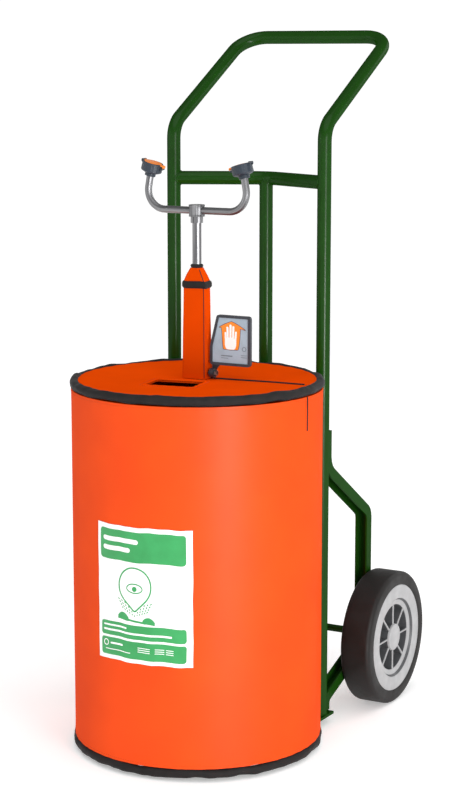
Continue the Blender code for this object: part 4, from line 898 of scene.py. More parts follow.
def build_sleeve(finish):
    low, high = SLEEVE_LOW.z, SLEEVE_HIGH.z
    count = 64
    rings = []
    for k in range(count + 1):
        height = low + (high - low) * k / count
        half_x, half_y, power, pleat = sleeve_shape(height)
        rings.append(sleeve_ring(half_x, half_y, power, height, seam=1.1 * MM, pleat=pleat))
    for k in range(count, -1, -8):
        height = low + (high - low) * k / count
        rings.append(sleeve_ring(*sleeve_shape(height)[:3], height, stand=-1.4 * MM))
    # The sleeve's cloth is a copy of the cover's painted darker: painted shade.
    sleeve = loft("riser_cover_sleeve", rings, finish["cover_sleeve_painted_shade"], wrap=True)
    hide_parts("riser_sleeve")

    rings = []
    span = STRAP_HIGH.z - STRAP_LOW.z
    halves = sleeve_shape(STRAP_LOW.z)[:2]
    rows = [(0.0, 1.1), (0.1, 2.2), (0.3, 3.1), (0.7, 3.1), (0.9, 2.2), (1.0, 1.1)]
    for share, out in rows + [(1.0, 0.25), (0.5, 0.25), (0.0, 0.25)]:
        height = STRAP_LOW.z + span * share
        ring = sleeve_ring(*halves, 7.0, height, stand=out * MM, seam=0.6 * MM)
        rings.append([p + Vector((0, 0, 0.5 * MM * math.sin(6 * math.atan2(p.y, p.x)))) for p in ring])
    strap = loft("cover_strap", rings, finish["binding"], wrap=True)
    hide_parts("sleeve_strap")

    centre = (NECK_LOW.z + NECK_HIGH.z) / 2
    rings = []
    rows = ((-0.5, 0.4), (-0.36, 1.6), (-0.1, 2.3), (0.14, 2.3), (0.38, 1.5), (0.5, 0.4))
    for share, out in rows + ((0.5, 0), (-0.5, 0)):
        height = centre + share * (NECK_HIGH.z - NECK_LOW.z)
        radius = 8.6 * MM + out * 1.15 * MM
        ring = []
        for turn in turns(60):
            rib = 0.14 * MM * math.sin(20 * turn) * (out > 1)
            ring.append(at_turn(radius + rib, turn, height))
        rings.append(ring)
    neck = loft("cover_neck_elastic", rings, finish["binding"], wrap=True)
    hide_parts("neck_band")

    steps = even_steps(low + 2 * MM, high - 3 * MM, 70)
    fold = [sleeve_corner(z, 0.55 * MM) for z in steps if not STRAP_LOW.z < z < STRAP_HIGH.z]
    dark_cord("sleeve_seam_piping", fold, 0.75 * MM, finish)
    line = []
    for height in even_steps(low + 6 * MM, STRAP_LOW.z - 6 * MM, 60):
        half_x, half_y = sleeve_shape(height)[:2]
        line.append(Vector((half_x + 0.45 * MM, -half_y + 5.5 * MM, height)))
    right = Vector((1, 0, 0))
    sew("sleeve_stitches", [line], 4.6 * MM, finish["thread"], lambda point: right, 3 * MM)


# ---------------------------------------------------------------- printed parts

LABEL_SIZE = (184.0, 238.0)
LABEL_TURN = math.radians(4.4)
LABEL_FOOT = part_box("label")[0].z


def on_label(u, v, lift=0.0):
    """A point on the label, from millimetres right of its left edge and above its foot."""
    edge = min(u, LABEL_SIZE[0] - u, v, LABEL_SIZE[1] - v)
    curl = math.exp(-max(edge, 0) / 9)
    ripple = noise.noise(Vector((u * 0.022, v * 0.022, 8.1)))
    sway = 2.2 * noise.noise(Vector((u * 0.035, 2.2, v * 0.003)))
    sway += 0.35 * noise.noise(Vector((u * 0.09, 5, 1)))
    side = 1.0 * noise.noise(Vector((3.3, u * 0.003, v * 0.03)))
    angle = LABEL_TURN + (u + side - LABEL_SIZE[0] / 2) * MM / WALL_HIGH.x - math.pi / 2
    radius = WALL_HIGH.x + (0.55 + 0.25 * ripple + 0.55 * curl * abs(ripple) + lift) * MM
    height = LABEL_FOOT + (v + sway) * MM
    return at_turn(radius, angle, height)


def on_flag(u, v, lift=0.0):
    """A point on the flag's face, from millimetres right of and above its lower left corner."""
    return Vector((FLAG_LOW.x + u * MM, FLAG_LOW.y - (0.06 + lift) * MM, FLAG_LOW.z + v * MM))


def grid_shape(left, right, low, high, corner, columns, rows):
    """A panel with round corners as columns of points."""
    spots = []
    for k in range(columns + 1):
        share = 0.5 - 0.5 * math.cos(math.pi * k / columns)
        u = left + (right - left) * share
        near = min(u - left, right - u)
        inset = 0.0
        if near < corner:
            inset = corner - math.sqrt(max(corner**2 - (corner - near) ** 2, 0.0))
        spots.append([(u, low + inset + (high - low - 2 * inset) * r / rows) for r in range(rows + 1)])
    return spots


def ribbon_shape(points, width, close=False):
    """A line of a width as columns of two points."""
    count = len(points)
    spots = []
    for k in range(count + (1 if close else 0)):
        here = Vector(points[k % count])
        before = Vector(points[(k - 1) % count]) if k > 0 or close else here
        after = Vector(points[(k + 1) % count]) if k < count - 1 or close else here
        way = (after - before).normalized()
        side = Vector((-way.y, way.x)) * width / 2
        spots.append([tuple(here - side), tuple(here + side)])
    return spots


def disc_shape(u, v, size_u, size_v, steps=14):
    """An oval as columns of two points."""
    spots = []
    for k in range(steps + 1):
        turn = math.pi * k / steps
        across = size_u * math.cos(turn)
        half = max(size_v * math.sin(turn), 0.01)
        spots.append([(u - across, v - half), (u - across, v + half)])
    return spots


def finger_shape(start, end, width, steps=6):
    """A bar with round ends as columns of two points."""
    a, b = Vector(start), Vector(end)
    way = (b - a).normalized()
    side = Vector((-way.y, way.x))
    spots = []
    half = width / 2
    for k in range(steps + 1):
        turn = math.pi / 2 * k / steps
        spots.append((a - way * half * math.cos(turn), half * math.sin(turn)))
    count = math.ceil((b - a).length / 5)
    spots += [(a.lerp(b, k / count), half) for k in range(1, count)]
    for k in range(steps + 1):
        turn = math.pi / 2 * (1 - k / steps)
        spots.append((b + way * half * math.cos(turn), half * math.sin(turn)))
    return [[tuple(p - side * max(h, 0.01)), tuple(p + side * max(h, 0.01))] for p, h in spots]


def basin_shape(left, right, low, high, lean):
    """A bowl as columns of two points, flat below and rounded above."""
    spots = []
    for k in range(13):
        share = k / 12
        u = left + (right - left) * share
        crown = math.sin(math.pi * (0.08 + 0.84 * share)) ** 0.6
        spots.append([(u, low + lean * share), (u, low + lean * share + (high - low) * crown)])
    return spots


def print_shapes(name, shapes, surface, lift, material, body, thick=0.07):
    """Thin ink or film shapes laid on a surface. Each is a list of columns of points."""
    verts, faces = [], []
    for number, columns in enumerate(shapes):
        rows = len(columns[0])
        start = len(verts)
        base = lift + number % 9 * 0.006
        for level in (base, base + thick):
            for column in columns:
                verts += [surface(u, v, level) for u, v in column]
        layer = len(columns) * rows

        def at(i, j, top):
            return start + top * layer + i * rows + j

        for i in range(len(columns) - 1):
            for j in range(rows - 1):
                faces.append((at(i, j, 1), at(i + 1, j, 1), at(i + 1, j + 1, 1), at(i, j + 1, 1)))
                faces.append((at(i, j, 0), at(i, j + 1, 0), at(i + 1, j + 1, 0), at(i + 1, j, 0)))
            for j in (0, rows - 1):
                faces.append((at(i, j, 0), at(i + 1, j, 0), at(i + 1, j, 1), at(i, j, 1)))
        for i in (0, len(columns) - 1):
            for j in range(rows - 1):
                faces.append((at(i, j, 0), at(i, j + 1, 0), at(i, j + 1, 1), at(i, j, 1)))
    return make_piece(name, verts, faces, material, body)


def drop_outline():
    """A large upside-down drop, its tip at the bottom, on the label."""
    points = []
    for k in range(60):
        turn = 2 * math.pi * k / 60 + 0.001
        pull = max(0.0, -math.sin(turn)) ** 5
        u = 80 + 31 * math.cos(turn) * (1 - 0.55 * pull)
        v = 134 + (34 + 8 * pull) * math.sin(turn)
        points.append((u, v))
    return points


def arc(centre, size_u, size_v, steps, count):
    """Points round an oval's middle, a number of even steps of a half turn."""
    angles = [math.pi * k / steps for k in range(count)]
    return [(centre[0] + size_u * math.cos(t), centre[1] + size_v * math.sin(t)) for t in angles]


def build_label(finish):
    across, up = 46, 58
    width, height = LABEL_SIZE
    rows = [height * j / up for j in range(up + 1)]
    panel = [[(width * i / across, v) for v in rows] for i in range(across + 1)]
    film = finish["film"]
    label = print_shapes("instruction_label", [panel], on_label, 0.0, film, "cart", 0.2)
    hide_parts("label")

    green = [
        grid_shape(7, 173, 177, 230, 6, 40, 8),
        grid_shape(7, 173, 42, 67, 5, 40, 5),
        grid_shape(7, 173, 7, 38, 5, 40, 5),
        ribbon_shape(drop_outline(), 2.7, True),
        disc_shape(80, 131, 4.6, 4.6),
        finger_shape((64, 76), (100, 72.5), 3.6),
        basin_shape(46, 68, 74.5, 88, -1.5),
        basin_shape(95, 118, 72, 84, -2.5),
        ribbon_shape(arc((80, 131), 15, 9, 16, 17), 2.1),
        ribbon_shape(arc((80, 131), 15, -7, 16, 17), 2.1),
    ]
    # The drops of spray between the eye and the basins
    for row in range(4):
        for k in range(-5, 6):
            u = 80 + k * (4.8 + row * 0.5)
            v = 84 + row * 4.8 + abs(k) * 1.9 - k * 0.3
            if abs(u - 80) > (row - 1) * 7:
                green.append(finger_shape((u - k * 0.14, v - 0.8), (u + k * 0.14, v + 0.8), 1.9, 3))
    print_shapes("label_print_green", green, on_label, 0.24, finish["film_green"], "cart")
    white = [
        finger_shape((18, 213), (84, 213), 8),
        finger_shape((18, 197), (68, 197), 8),
        finger_shape((14, 60), (62, 60), 3.0),
        finger_shape((14, 51.5), (146, 51.5), 3.4),
        ribbon_shape(arc((18, 28), 5, 5, 10, 20), 1.6, True),
        finger_shape((30, 28), (54, 28), 3.2),
        finger_shape((17, 17), (70, 17), 1.4),
    ]
    for left, right in ((86, 108), (118, 134), (138, 150)):
        for v in (28, 24.4, 20.8):
            white.append(finger_shape((left, v), (right, v), 1.2))
    print_shapes("label_print_white", white, on_label, 0.38, film, "cart")


def build_flag_print(finish):
    """An orange arrow with an open palm on it, and grey bars where lines of words would be."""
    arrow = []
    for k in range(53):
        u = 16.6 + 52.2 * k / 52
        peak, eave_left, eave_right = 41.5, 21.4, 58.6
        if u < peak:
            roof = 76.5 - (peak - u) * 0.44 + 1.2 * math.sin(math.pi * (peak - u) / 24.9)
        else:
            roof = 76.5 - (u - peak) * 0.5 + 1.0 * math.sin(math.pi * (u - peak) / 27.3)
        if u < eave_left:
            low = roof - 1.0 - (u - 16.6) * 0.55
        elif u > eave_right:
            low = roof - 1.0 - (68.8 - u) * 0.32
        elif u < 25.0:
            low = 27.0 + 34.0 * ((25.0 - u) / 3.6) ** 2
        elif u > 53.5:
            low = 27.0 + 30.0 * ((u - 53.5) / 5.1) ** 2
        else:
            low = 26.2 + 0.8 * abs(u - 39) / 14
        arrow.append([(u, low), (u, max(roof, low + 0.3))])
    print_shapes("flag_print_arrow", [arrow], on_flag, 0.0, finish["film_orange"], "flag")
    outline = [column[1] for column in arrow] + [column[0] for column in reversed(arrow)]
    edge = [ribbon_shape(outline, 0.9, True)]
    print_shapes("flag_print_edge", edge, on_flag, 0.05, finish["charcoal"], "flag")
    palm = []
    for k in range(21):
        share = k / 20
        u = 27.8 + 22.6 * share
        low = 27.2 + 8.0 * abs(2 * share - 1) ** 6
        high = 48.5 - 9.0 * abs(share - 0.5) ** 1.5
        palm.append([(u, low), (u, high)])
    fingers = [
        finger_shape((29.6, 44), (29.0, 55.5), 3.5),
        finger_shape((33.6, 45), (32.9, 65.0), 3.9),
        finger_shape((38.9, 46), (39.1, 69.0), 4.0),
        finger_shape((44.1, 45), (44.7, 66.5), 3.9),
        finger_shape((48.5, 42), (49.8, 57.5), 3.6),
    ]
    print_shapes("flag_print_palm", [palm] + fingers, on_flag, 0.1, finish["film"], "flag")
    bars = [
        finger_shape((21, 15.5), (42, 15.5), 2.0),
        finger_shape((21, 11.5), (34, 11.5), 1.1),
        ribbon_shape(arc((66, 29), 3.6, 3.6, 10, 20), 1.2, True),
        finger_shape((60, 18), (71, 18), 1.0),
        finger_shape((60, 14.5), (71, 14.5), 1.0),
    ]
    print_shapes("flag_print_bars", bars, on_flag, 0.0, finish["film_ink"], "flag")


def build_gauge_print(finish):
    """Graduations round the pressure gauge's dial."""
    low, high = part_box("gauge_dial")
    centre = (low + high) / 2
    reach = (high.x - low.x) / 2 - 1.0 * MM

    def on_dial(u, v, lift=0.0):
        return Vector((centre.x + u * MM, centre.y + v * MM, high.z + (0.05 + lift) * MM))

    def around(turn, radius):
        angle = math.radians(90 - turn)
        return (radius * math.cos(angle), radius * math.sin(angle))

    outer = reach / MM
    ticks = []
    for k in range(-12, 13):
        long, wide = (3.6, 0.7) if k % 4 == 0 else (2.0, 0.4)
        ends = [around(k * 11.25, outer - long), around(k * 11.25, outer)]
        ticks.append(ribbon_shape(ends, wide))
    print_shapes("gauge_print_ticks", ticks, on_dial, 0.0, finish["charcoal"], "cart")
    zone = ribbon_shape([around(t, outer - 6) for t in range(20, 76, 5)], 2.2)
    print_shapes("gauge_print_zone", [zone], on_dial, 0.0, finish["film_green"], "cart")


# ---------------------------------------------------------------- tubes and wheels


def bar_line(height, shoulder=None):
    """The middle line of a cross bar, which bows back to the centre post."""
    half = [Vector((UPRIGHT_X, UPRIGHT_Y, height))]
    if shoulder is not None:
        half.append(Vector((*shoulder, height)))
    corners = [Vector((-v.x, v.y, v.z)) for v in half] + [Vector((0, BAR_CORNER, height))] + half[::-1]
    return bent_line(corners, [60 * MM] * (len(corners) - 2))


def round_tube(name, node, points, radius, material, sides=32):
    piece = loft(name, path_rings(spaced(points, 60 * MM), radius, sides), material)
    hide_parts(node)
    return piece


def build_tubes(finish):
    enamel, steel = finish["enamel"], finish["stainless_arm"]
    ends = []
    for side, word in SIDES:
        foot = Vector((side * UPRIGHT_X, UPRIGHT_Y, PLATE_HIGH.z + 0.2 * MM))
        bend = Vector((side * UPRIGHT_X, UPRIGHT_Y, HANDLE_BEND))
        ends.append([foot, bend, Vector((side * UPRIGHT_X, HANDLE_BACK, HANDLE_TOP))])
    line = bent_line(ends[0] + ends[1][::-1], [45 * MM, 50 * MM, 50 * MM, 45 * MM])
    round_tube("handle_frame", "frame_tube", line, TUBE_RADIUS, enamel)
    for word, shoulder in (("upper", None), ("lower", BAR_SHOULDER)):
        line = bar_line(box_middle(f"{word}_cross_bar").z, shoulder)
        round_tube(f"cross_bar_{word}", f"{word}_cross_bar", line, TUBE_RADIUS, enamel)
    ends = [Vector((0, POST_Y, z)) for z in (POST_LOW.z - 8 * MM, POST_HIGH.z + 8 * MM)]
    round_tube("post_tube", "centre_post", ends, TUBE_RADIUS, enamel)
    for side, word in SIDES:
        start = Vector((side * ARM_START, 0, ARM_LOW.z + ARM_RADIUS))
        end = Vector((side * ARM_END[0], 0, ARM_END[1]))
        corner = Vector((end.x + side * (end.z - start.z) * math.tan(ARM_LEAN), 0, start.z))
        line = bent_line([start, corner, end], [ARM_BEND], 14)
        round_tube(f"arm_tube_{word}", f"arm_{word}", line, ARM_RADIUS, steel, 28)


def tyre_outline():
    """The tyre's section as radius and height over the rim's inner edge, the same on both sides."""
    proud = WHEEL_HIGH.x - RIM_INNER - WHEEL_WIDTH
    inner_proud = RIM_INNER - WHEEL_LOW.x
    top, corner = WHEEL_WIDTH + proud, 8 * MM
    outer = [
        (RIM_RADIUS + 0.3 * MM, WHEEL_WIDTH - 0.5 * MM),
        (RIM_RADIUS + 1.5 * MM, top - 0.7 * MM),
        (RIM_RADIUS + 3 * MM, top),
        (RIM_RADIUS + 12 * MM, top),
    ]
    for k in range(7):
        turn = math.pi / 2 * k / 6
        reach = WHEEL_RADIUS - corner + corner * math.sin(turn)
        outer.append((reach, top - corner + corner * math.cos(turn)))
    outer += [(WHEEL_RADIUS, WHEEL_WIDTH / 2 + line) for line in (1.2 * MM, 0.6 * MM)]
    return outer + [(radius, top - inner_proud - height) for radius, height in reversed(outer)]


def spoke_bars(section, centre, side):
    """The points and faces of a wheel's spokes: bars of four sides that widen at both ends."""
    verts, faces = [], []
    for turn in turns(SPOKES):
        spin = Matrix.Rotation(turn, 3, "X")
        faces += bar_faces(len(verts), 4, 4)
        for reach, flare in ((24.5, 0.5), (34, 0.0), (54, 0.0), (64, 0.5)):
            for across, height in section:
                wide = (across + math.copysign(flare, across)) * MM
                verts.append(centre + spin @ Vector((side * height, wide, reach * MM)))
    return verts, faces


def build_wheels(finish):
    """Each wheel's tyre with its rounded shoulders, and its rim with a stepped face and its spokes."""
    face, step, floor = WHEEL_WIDTH, WHEEL_WIDTH - 6.5 * MM, WHEEL_WIDTH - 24 * MM
    # Millimetres of radius, the level it is measured from, and millimetres over that level
    rim = (11.3, 0, -3), (20, 0, -3), (22, floor, -6), (90, floor, -6), (93, 0, 0), (102, 0, 0)
    rim += (102, face, -1.2), (101.6, face, -0.4), (100.8, face, 0), (77.5, face, 0)
    rim += (76.4, face, -0.3), (75.6, face, -1.2), (72.6, step, 1.2), (71.6, step, 0.2)
    rim += (70.6, step, 0), (64.5, step, 0), (63.4, step, -0.4), (63, step, -1.4)
    rim += (61.5, floor, 2), (59.5, floor, 0), (28.5, floor, 0), (26.8, floor, 1.5)
    rim += (25.7, step, -1), (24.8, step, 0), (18, step, 0), (18, step, -7.5), (11.3, step, -7.5)
    web = (63.4, step, -1.6), (61.9, floor, 1.6), (59.9, floor, -0.4), (28.1, floor, -0.4)
    web += (26.4, floor, 1.3), (25.3, step, -1.2), (26.0, step, -1.1), (27.1, floor, 1.7)
    web += (28.7, floor, 0.3), (59.3, floor, 0.3), (61.2, floor, 2.1), (62.7, step, -1.5)
    band = (75.5, face, -1), (72.4, step, 1), (73, step, 0.8), (76, face, -1.4)
    # The pocket floors and the ring down the step are a darker grey: painted shade in the rim's recesses.
    turned = (
        ("rim_body", rim, "rim", 112),
        ("rim_web", web, "rim_painted_shade", 64),
        ("rim_step", band, "rim_painted_shade", 96),
    )
    # The spokes' lower bars are the darker grey too, painted shade down in the pockets. Their narrow tops keep
    # the rim's grey.
    bars = (
        ("rim_spokes", "rim_painted_shade", (2.3, floor - MM), (1.5, step - 2 * MM)),
        ("rim_ribs", "rim", (1.7, step - 2.4 * MM), (1.1, step - 0.7 * MM)),
    )
    for side, word in SIDES:
        centre = Vector((side * RIM_INNER, AXLE_Y, WHEEL_RADIUS))
        body = f"wheel_{word}"
        tyre = lathe(f"tyre_solid_{word}", tyre_outline(), centre, side, finish["rubber"], body, 112)
        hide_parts(f"tyre_{word}")
        for name, rows, key, sides in turned:
            outline = [(radius * MM, level + over * MM) for radius, level, over in rows]
            piece = lathe(f"{name}_{word}", outline, centre, side, finish[key], body, sides)
            if name == "rim_body":
                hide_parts(f"wheel_rim_{word}")
        for name, key, (wide, low), (narrow, high) in bars:
            section = ((-wide, low), (-narrow, high), (narrow, high), (wide, low))
            verts, faces = spoke_bars(section, centre, side)
            make_piece(f"{name}_{word}", verts, faces, finish[key], body)


# ---------------------------------------------------------------- welds and small metal


def weld_points(end, way, radius, spot, axis, main_radius, steps=26):
    """The line where a round tube, ending near a point, meets another tube. The way leads into it."""
    side = way.orthogonal().normalized()
    up = way.cross(side)
    points = []
    for k in range(steps):
        turn = 2 * math.pi * k / steps
        start = end + (side * math.cos(turn) + up * math.sin(turn)) * radius - spot
        flat = start - axis * start.dot(axis)
        go = way - axis * way.dot(axis)
        a, b, c = go.length_squared, 2 * flat.dot(go), flat.length_squared - main_radius**2
        root = max(b * b - 4 * a * c, 0.0)
        travel = (-b - math.sqrt(root)) / (2 * a)
        points.append(spot + start + way * travel)
    return points


def weld_bead(name, points, finish, close=True, size=1.5 * MM):
    """A rippled fillet of weld under the enamel."""
    path = []
    ends = points[1:] + (points[:1] if close else [])
    for here, there in zip(points, ends):
        path += [here, here.lerp(there, 0.5)]
    if not close:
        path.append(points[-1])

    def radius(step, turn):
        return size * (1 + 0.14 * math.sin(step * 2.1) + 0.1 * noise.noise(Vector((step * 0.7, turn, 3))))

    piece = loft(name, path_rings(path, radius, 8, close), finish["enamel"], wrap=close)
    return piece


def build_welds(finish):
    upright_axis, post_axis = Vector((0, 0, 1)), Vector((1, 0, 0))
    meeting = TUBE_RADIUS + 0.2 * MM
    for label, shoulder in (("upper", None), ("lower", BAR_SHOULDER)):
        low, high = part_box(f"{label}_cross_bar")
        height = (low.z + high.z) / 2
        x, y = shoulder or (0, high.y - TUBE_RADIUS + 7 * MM)
        for side, word in SIDES:
            spot = Vector((side * UPRIGHT_X, UPRIGHT_Y, height))
            way = (spot - Vector((side * x, y, height))).normalized()
            points = weld_points(spot - way * 40 * MM, way, TUBE_RADIUS, spot, upright_axis, meeting)
            weld_bead(f"weld_{label}_bar_{word}", points, finish)
    for end, bar, word, sign in ((POST_HIGH.z, "upper", "top", 1), (POST_LOW.z, "lower", "foot", -1)):
        low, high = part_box(f"{bar}_cross_bar")
        spot = Vector((0, high.y - TUBE_RADIUS, (low.z + high.z) / 2))
        start = Vector((0, POST_Y, end - sign * 30 * MM))
        way = Vector((0, 0, sign))
        points = weld_points(start, way, TUBE_RADIUS * 0.99, spot, post_axis, meeting)
        weld_bead(f"weld_post_{word}", points, finish)
    back = FRAME_LOW.y + 2 * TUBE_RADIUS
    foot_height = PLATE_HIGH.z + 0.6 * MM
    for side, word in SIDES:
        centre = Vector((side * UPRIGHT_X, UPRIGHT_Y, foot_height))
        ring = [centre + at_turn(TUBE_RADIUS, turn, 0) for turn in turns(24)]
        weld_bead(f"weld_upright_foot_{word}", ring, finish)
        low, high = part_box(f"axle_bracket_{word}")
        for x, edge in ((low.x + 1.0 * MM, "in"), (high.x - 1.0 * MM, "out")):
            reach = abs(x - side * UPRIGHT_X)
            if reach > TUBE_RADIUS:
                continue
            y = max(UPRIGHT_Y + math.sqrt(TUBE_RADIUS**2 - reach**2) + 0.6 * MM, back - 4 * MM)
            line = [Vector((x, y, z)) for z in even_steps(high.z - 4 * MM, high.z - 56 * MM, 12)]
            weld_bead(f"weld_bracket_{edge}_{word}", line, finish, False)
        steps = even_steps(low.x + 1 * MM, high.x - 1 * MM, 10)
        foot = [Vector((x, back + BRACKET_REACH, foot_height)) for x in steps]
        weld_bead(f"weld_bracket_foot_{word}", foot, finish, False, 1.6 * MM)


def build_head_details(finish):
    """Dark discs where the spray holes are in each face, painted shade for the holes, and the knuckle of each
    dust cover's hinge.
    """
    hole = 0.9 * MM
    along = Vector((0, 1, 0))
    spots = [(0.0, 0.0)]
    for ring, number in ((5.5 * MM, 6), (10.5 * MM, 12)):
        spots += [(ring * math.cos(turn), ring * math.sin(turn)) for turn in turns(number)]
    for side, word in SIDES:
        normal = Vector((-side * math.sin(HEAD_TILT), 0, math.cos(HEAD_TILT)))
        across = along.cross(normal)
        top = box_middle(f"spray_face_{word}") + normal * 1.55 * MM
        verts, faces = [], []
        for u, v in spots:
            faces += bar_faces(len(verts), 2, 8)
            drop = 0.45 * MM * min(1.0, math.hypot(u, v) / (8 * MM))
            for level in (0.0, 0.35 * MM):
                for t in turns(8):
                    spot = across * (u + hole * math.cos(t)) + along * (v + hole * math.sin(t))
                    verts.append(top + spot + normal * (level - drop))
        # Painted shade: dark discs stand where the holes are, for the shade inside them.
        holes = make_piece(f"spray_hole_shade_discs_{word}", verts, faces, finish["charcoal"], "cart")
    for _, word in SIDES:
        middle = box_middle(f"hinge_pin_{word}")
        ends = [middle + along * y for y in (-KNUCKLE_HALF, KNUCKLE_HALF)]
        rings = path_rings(ends, 2.05 * MM, 24)
        cap = loft(f"hinge_knuckle_{word}", rings, finish["slate"], f"cover_{word}")


# ---------------------------------------------------------------- stage


def place_object(name, data, spot, aim=None):
    """An object of the stage at a spot, turned to look at a point."""
    thing = bpy.data.objects.new(name, data)
    thing.location = spot
    if aim is not None:
        thing.rotation_euler = (Vector(aim) - Vector(spot)).to_track_quat("-Z", "Y").to_euler()
    bpy.context.scene.collection.objects.link(thing)
    return thing


def build_stage():
    settings = bpy.context.scene.eyewash
    half = 12.0
    corners = [(-half, -half, 0), (half, -half, 0), (half, half, 0), (-half, half, 0)]
    mesh = bpy.data.meshes.new("floor")
    mesh.from_pydata(corners, [], [(0, 1, 2, 3)])
    mesh.materials.append(painted_floor("painted_studio_floor_white"))
    place_object("floor", mesh, (0, 0, -0.4 * MM))

    world = bpy.data.worlds.new("studio")
    world.use_nodes = True
    tree = world.node_tree
    way = add(tree, "TexCoord").outputs["Generated"]
    rise = add(tree, "SeparateXYZ", {"Vector": way}).outputs["Z"]
    share = spread(tree, rise, 1.05, settings.sky_strength, 0.08, 0.45)
    tree.nodes["Background"].inputs["Color"].default_value = (1, 1, 1, 1)
    tree.links.new(share, tree.nodes["Background"].inputs["Strength"])
    bpy.context.scene.world = world
    bpy.context.scene.view_settings.view_transform = "Standard"

    key = settings.key_power
    lights = (
        ("key_light", (2.75, -1.65, 1.3), (0, 0, 0.6), (1.2, 1.2), key * 0.42),
        ("low_light", (2.66, -1.79, 0.31), (0, 0, 0.3), (0.8, 0.5), key * 0.62),
        ("left_light", (-3.0, -2.0, 1.7), (0, 0, 0.5), (1.6, 1.6), key * 0.1),
        ("rear_light", (1.4, 3.4, 2.2), (0, 0, 0.7), (1.6, 1.6), key * 0.35),
    )
    for name, spot, aim, size, power in lights:
        lamp = bpy.data.lights.new(name, "AREA")
        lamp.shape = "RECTANGLE"
        lamp.size, lamp.size_y = size
        lamp.energy = power
        place_object(name, lamp, spot, aim)
    lamp = bpy.data.lights.new("overhead_light", "SUN")
    lamp.energy = 1.2
    lamp.angle = math.radians(70)
    sun = place_object("overhead_light", lamp, (0, 0, 3))
    sun.rotation_euler = (math.radians(18), math.radians(12), 0)

    camera_data = bpy.data.cameras.new("camera")
    camera_data.lens = settings.lens
    camera_data.sensor_width = 36
    camera = place_object("camera", camera_data, (1.7726, -3.0511, 1.2241))
    camera.rotation_euler = Vector((-0.4834, 0.8593, -0.1672)).to_track_quat("-Z", "Y").to_euler()
    bpy.context.scene.camera = camera


# ---------------------------------------------------------------- add-on


class EyewashSettings(bpy.types.PropertyGroup):
    """Colours and sizes that a user may change."""

    cover_colour: StringProperty(
        name="Cover colour", description="Cover fabric, as a display hex value", default="E84800"
    )
    label_colour: StringProperty(
        name="Label colour", description="Label print, as a display hex value", default="26914B"
    )
    enamel_colour: StringProperty(
        name="Enamel colour", description="Cart enamel, as a display hex value", default="16400B"
    )
    pucker_depth: FloatProperty(
        name="Pucker depth",
        description="Depth of the gathers at the cover's hems",
        default=0.5 * MM,
        unit="LENGTH",
    )
    lens: FloatProperty(
        name="Lens", description="Focal length of the camera", default=91.2, unit="CAMERA"
    )
    key_power: FloatProperty(
        name="Key light", description="Power of the main light", default=66.0, unit="POWER"
    )
    sky_strength: FloatProperty(
        name="Sky", description="Strength of the white surroundings overhead", default=0.36
    )


def paint_nodes(finish):
    for key, names in NODE_FINISHES.items():
        for name in names.split():
            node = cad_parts[name]
            node.data.materials.clear()
            node.data.materials.append(finish[key])


class EYEWASH_OT_nodes(bpy.types.Operator):
    """Give every solid part its finish"""

    bl_idname = "eyewash.nodes"
    bl_label = "Paint the Solid Parts"

    def execute(self, context):
        paint_nodes(finishes())
        return {"FINISHED"}


class EYEWASH_OT_tubes(bpy.types.Operator):
    """Make the smooth tubes of the cart and the arms"""

    bl_idname = "eyewash.tubes"
    bl_label = "Tubes"

    def execute(self, context):
        build_tubes(finishes())
        return {"FINISHED"}


class EYEWASH_OT_wheels(bpy.types.Operator):
    """Make the tyres and rims"""

    bl_idname = "eyewash.wheels"
    bl_label = "Wheels"

    def execute(self, context):
        build_wheels(finishes())
        return {"FINISHED"}


class EYEWASH_OT_wall(bpy.types.Operator):
    """Make the padded wall of the cover"""

    bl_idname = "eyewash.wall"
    bl_label = "Cover Wall"

    def execute(self, context):
        build_wall(finishes())
        return {"FINISHED"}


class EYEWASH_OT_lid(bpy.types.Operator):
    """Make the lid with its window and seam"""

    bl_idname = "eyewash.lid"
    bl_label = "Cover Lid"

    def execute(self, context):
        build_lid(finishes())
        return {"FINISHED"}


class EYEWASH_OT_bindings(bpy.types.Operator):
    """Make the black rolled bindings"""

    bl_idname = "eyewash.bindings"
    bl_label = "Bindings"

    def execute(self, context):
        build_bindings(finishes())
        return {"FINISHED"}


class EYEWASH_OT_liner(bpy.types.Operator):
    """Make the foam liner inside the cover"""

    bl_idname = "eyewash.liner"
    bl_label = "Foam Liner"

    def execute(self, context):
        build_liner(finishes())
        return {"FINISHED"}


class EYEWASH_OT_sleeve(bpy.types.Operator):
    """Make the sleeve, its strap and its neck elastic"""

    bl_idname = "eyewash.sleeve"
    bl_label = "Riser Sleeve"

    def execute(self, context):
        build_sleeve(finishes())
        return {"FINISHED"}


class EYEWASH_OT_label(bpy.types.Operator):
    """Make the label and its print"""

    bl_idname = "eyewash.label"
    bl_label = "Label"

    def execute(self, context):
        build_label(finishes())
        return {"FINISHED"}


class EYEWASH_OT_flag_print(bpy.types.Operator):
    """Make the print on the push flag"""

    bl_idname = "eyewash.flag_print"
    bl_label = "Flag Print"

    def execute(self, context):
        build_flag_print(finishes())
        return {"FINISHED"}


class EYEWASH_OT_gauge_print(bpy.types.Operator):
    """Make the print on the gauge's dial"""

    bl_idname = "eyewash.gauge_print"
    bl_label = "Gauge Print"

    def execute(self, context):
        build_gauge_print(finishes())
        return {"FINISHED"}


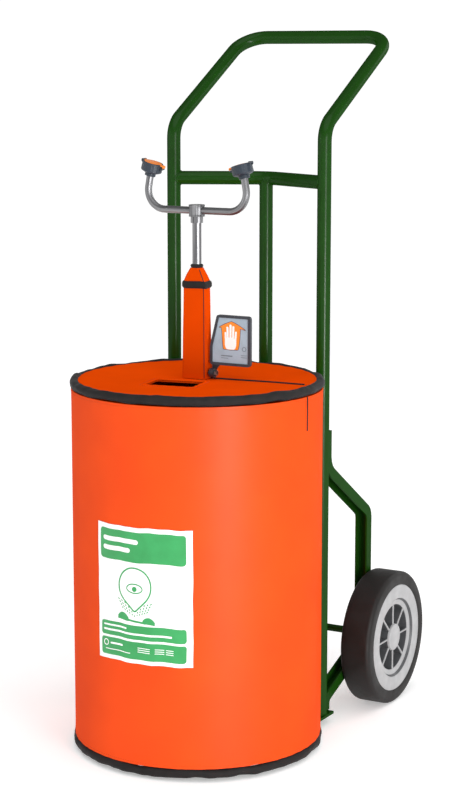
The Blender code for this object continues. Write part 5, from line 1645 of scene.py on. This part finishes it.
class EYEWASH_OT_welds(bpy.types.Operator):
    """Make the weld beads of the cart"""

    bl_idname = "eyewash.welds"
    bl_label = "Welds"

    def execute(self, context):
        build_welds(finishes())
        return {"FINISHED"}


class EYEWASH_OT_head_details(bpy.types.Operator):
    """Make the holes of the spray faces and the hinge knuckles"""

    bl_idname = "eyewash.head_details"
    bl_label = "Spray Head Details"

    def execute(self, context):
        build_head_details(finishes())
        return {"FINISHED"}


class EYEWASH_OT_stage(bpy.types.Operator):
    """Make the floor, the lights and the camera"""

    bl_idname = "eyewash.stage"
    bl_label = "Stage"

    def execute(self, context):
        build_stage()
        return {"FINISHED"}


OPERATORS = [
    EYEWASH_OT_nodes,
    EYEWASH_OT_tubes,
    EYEWASH_OT_wheels,
    EYEWASH_OT_wall,
    EYEWASH_OT_lid,
    EYEWASH_OT_bindings,
    EYEWASH_OT_liner,
    EYEWASH_OT_sleeve,
    EYEWASH_OT_label,
    EYEWASH_OT_flag_print,
    EYEWASH_OT_gauge_print,
    EYEWASH_OT_welds,
    EYEWASH_OT_head_details,
    EYEWASH_OT_stage,
]


class EYEWASH_PT_panel(bpy.types.Panel):
    """Lists the pieces of the eyewash station."""

    bl_label = "Eyewash Station"
    bl_idname = "EYEWASH_PT_panel"
    bl_space_type = "VIEW_3D"
    bl_region_type = "UI"
    bl_category = "Eyewash"

    def draw(self, context):
        for name in EyewashSettings.__annotations__:
            self.layout.prop(context.scene.eyewash, name)
        for operator in OPERATORS:
            self.layout.operator(operator.bl_idname)


CLASSES = [EyewashSettings] + OPERATORS + [EYEWASH_PT_panel]


def register():
    for each in CLASSES:
        bpy.utils.register_class(each)
    bpy.types.Scene.eyewash = PointerProperty(type=EyewashSettings)


def unregister():
    del bpy.types.Scene.eyewash
    for each in reversed(CLASSES):
        bpy.utils.unregister_class(each)


def main():
    register()
    for operator in OPERATORS:
        name = operator.bl_idname.split(".")[1]
        getattr(bpy.ops.eyewash, name)()


if __name__ == "__main__":
    main()
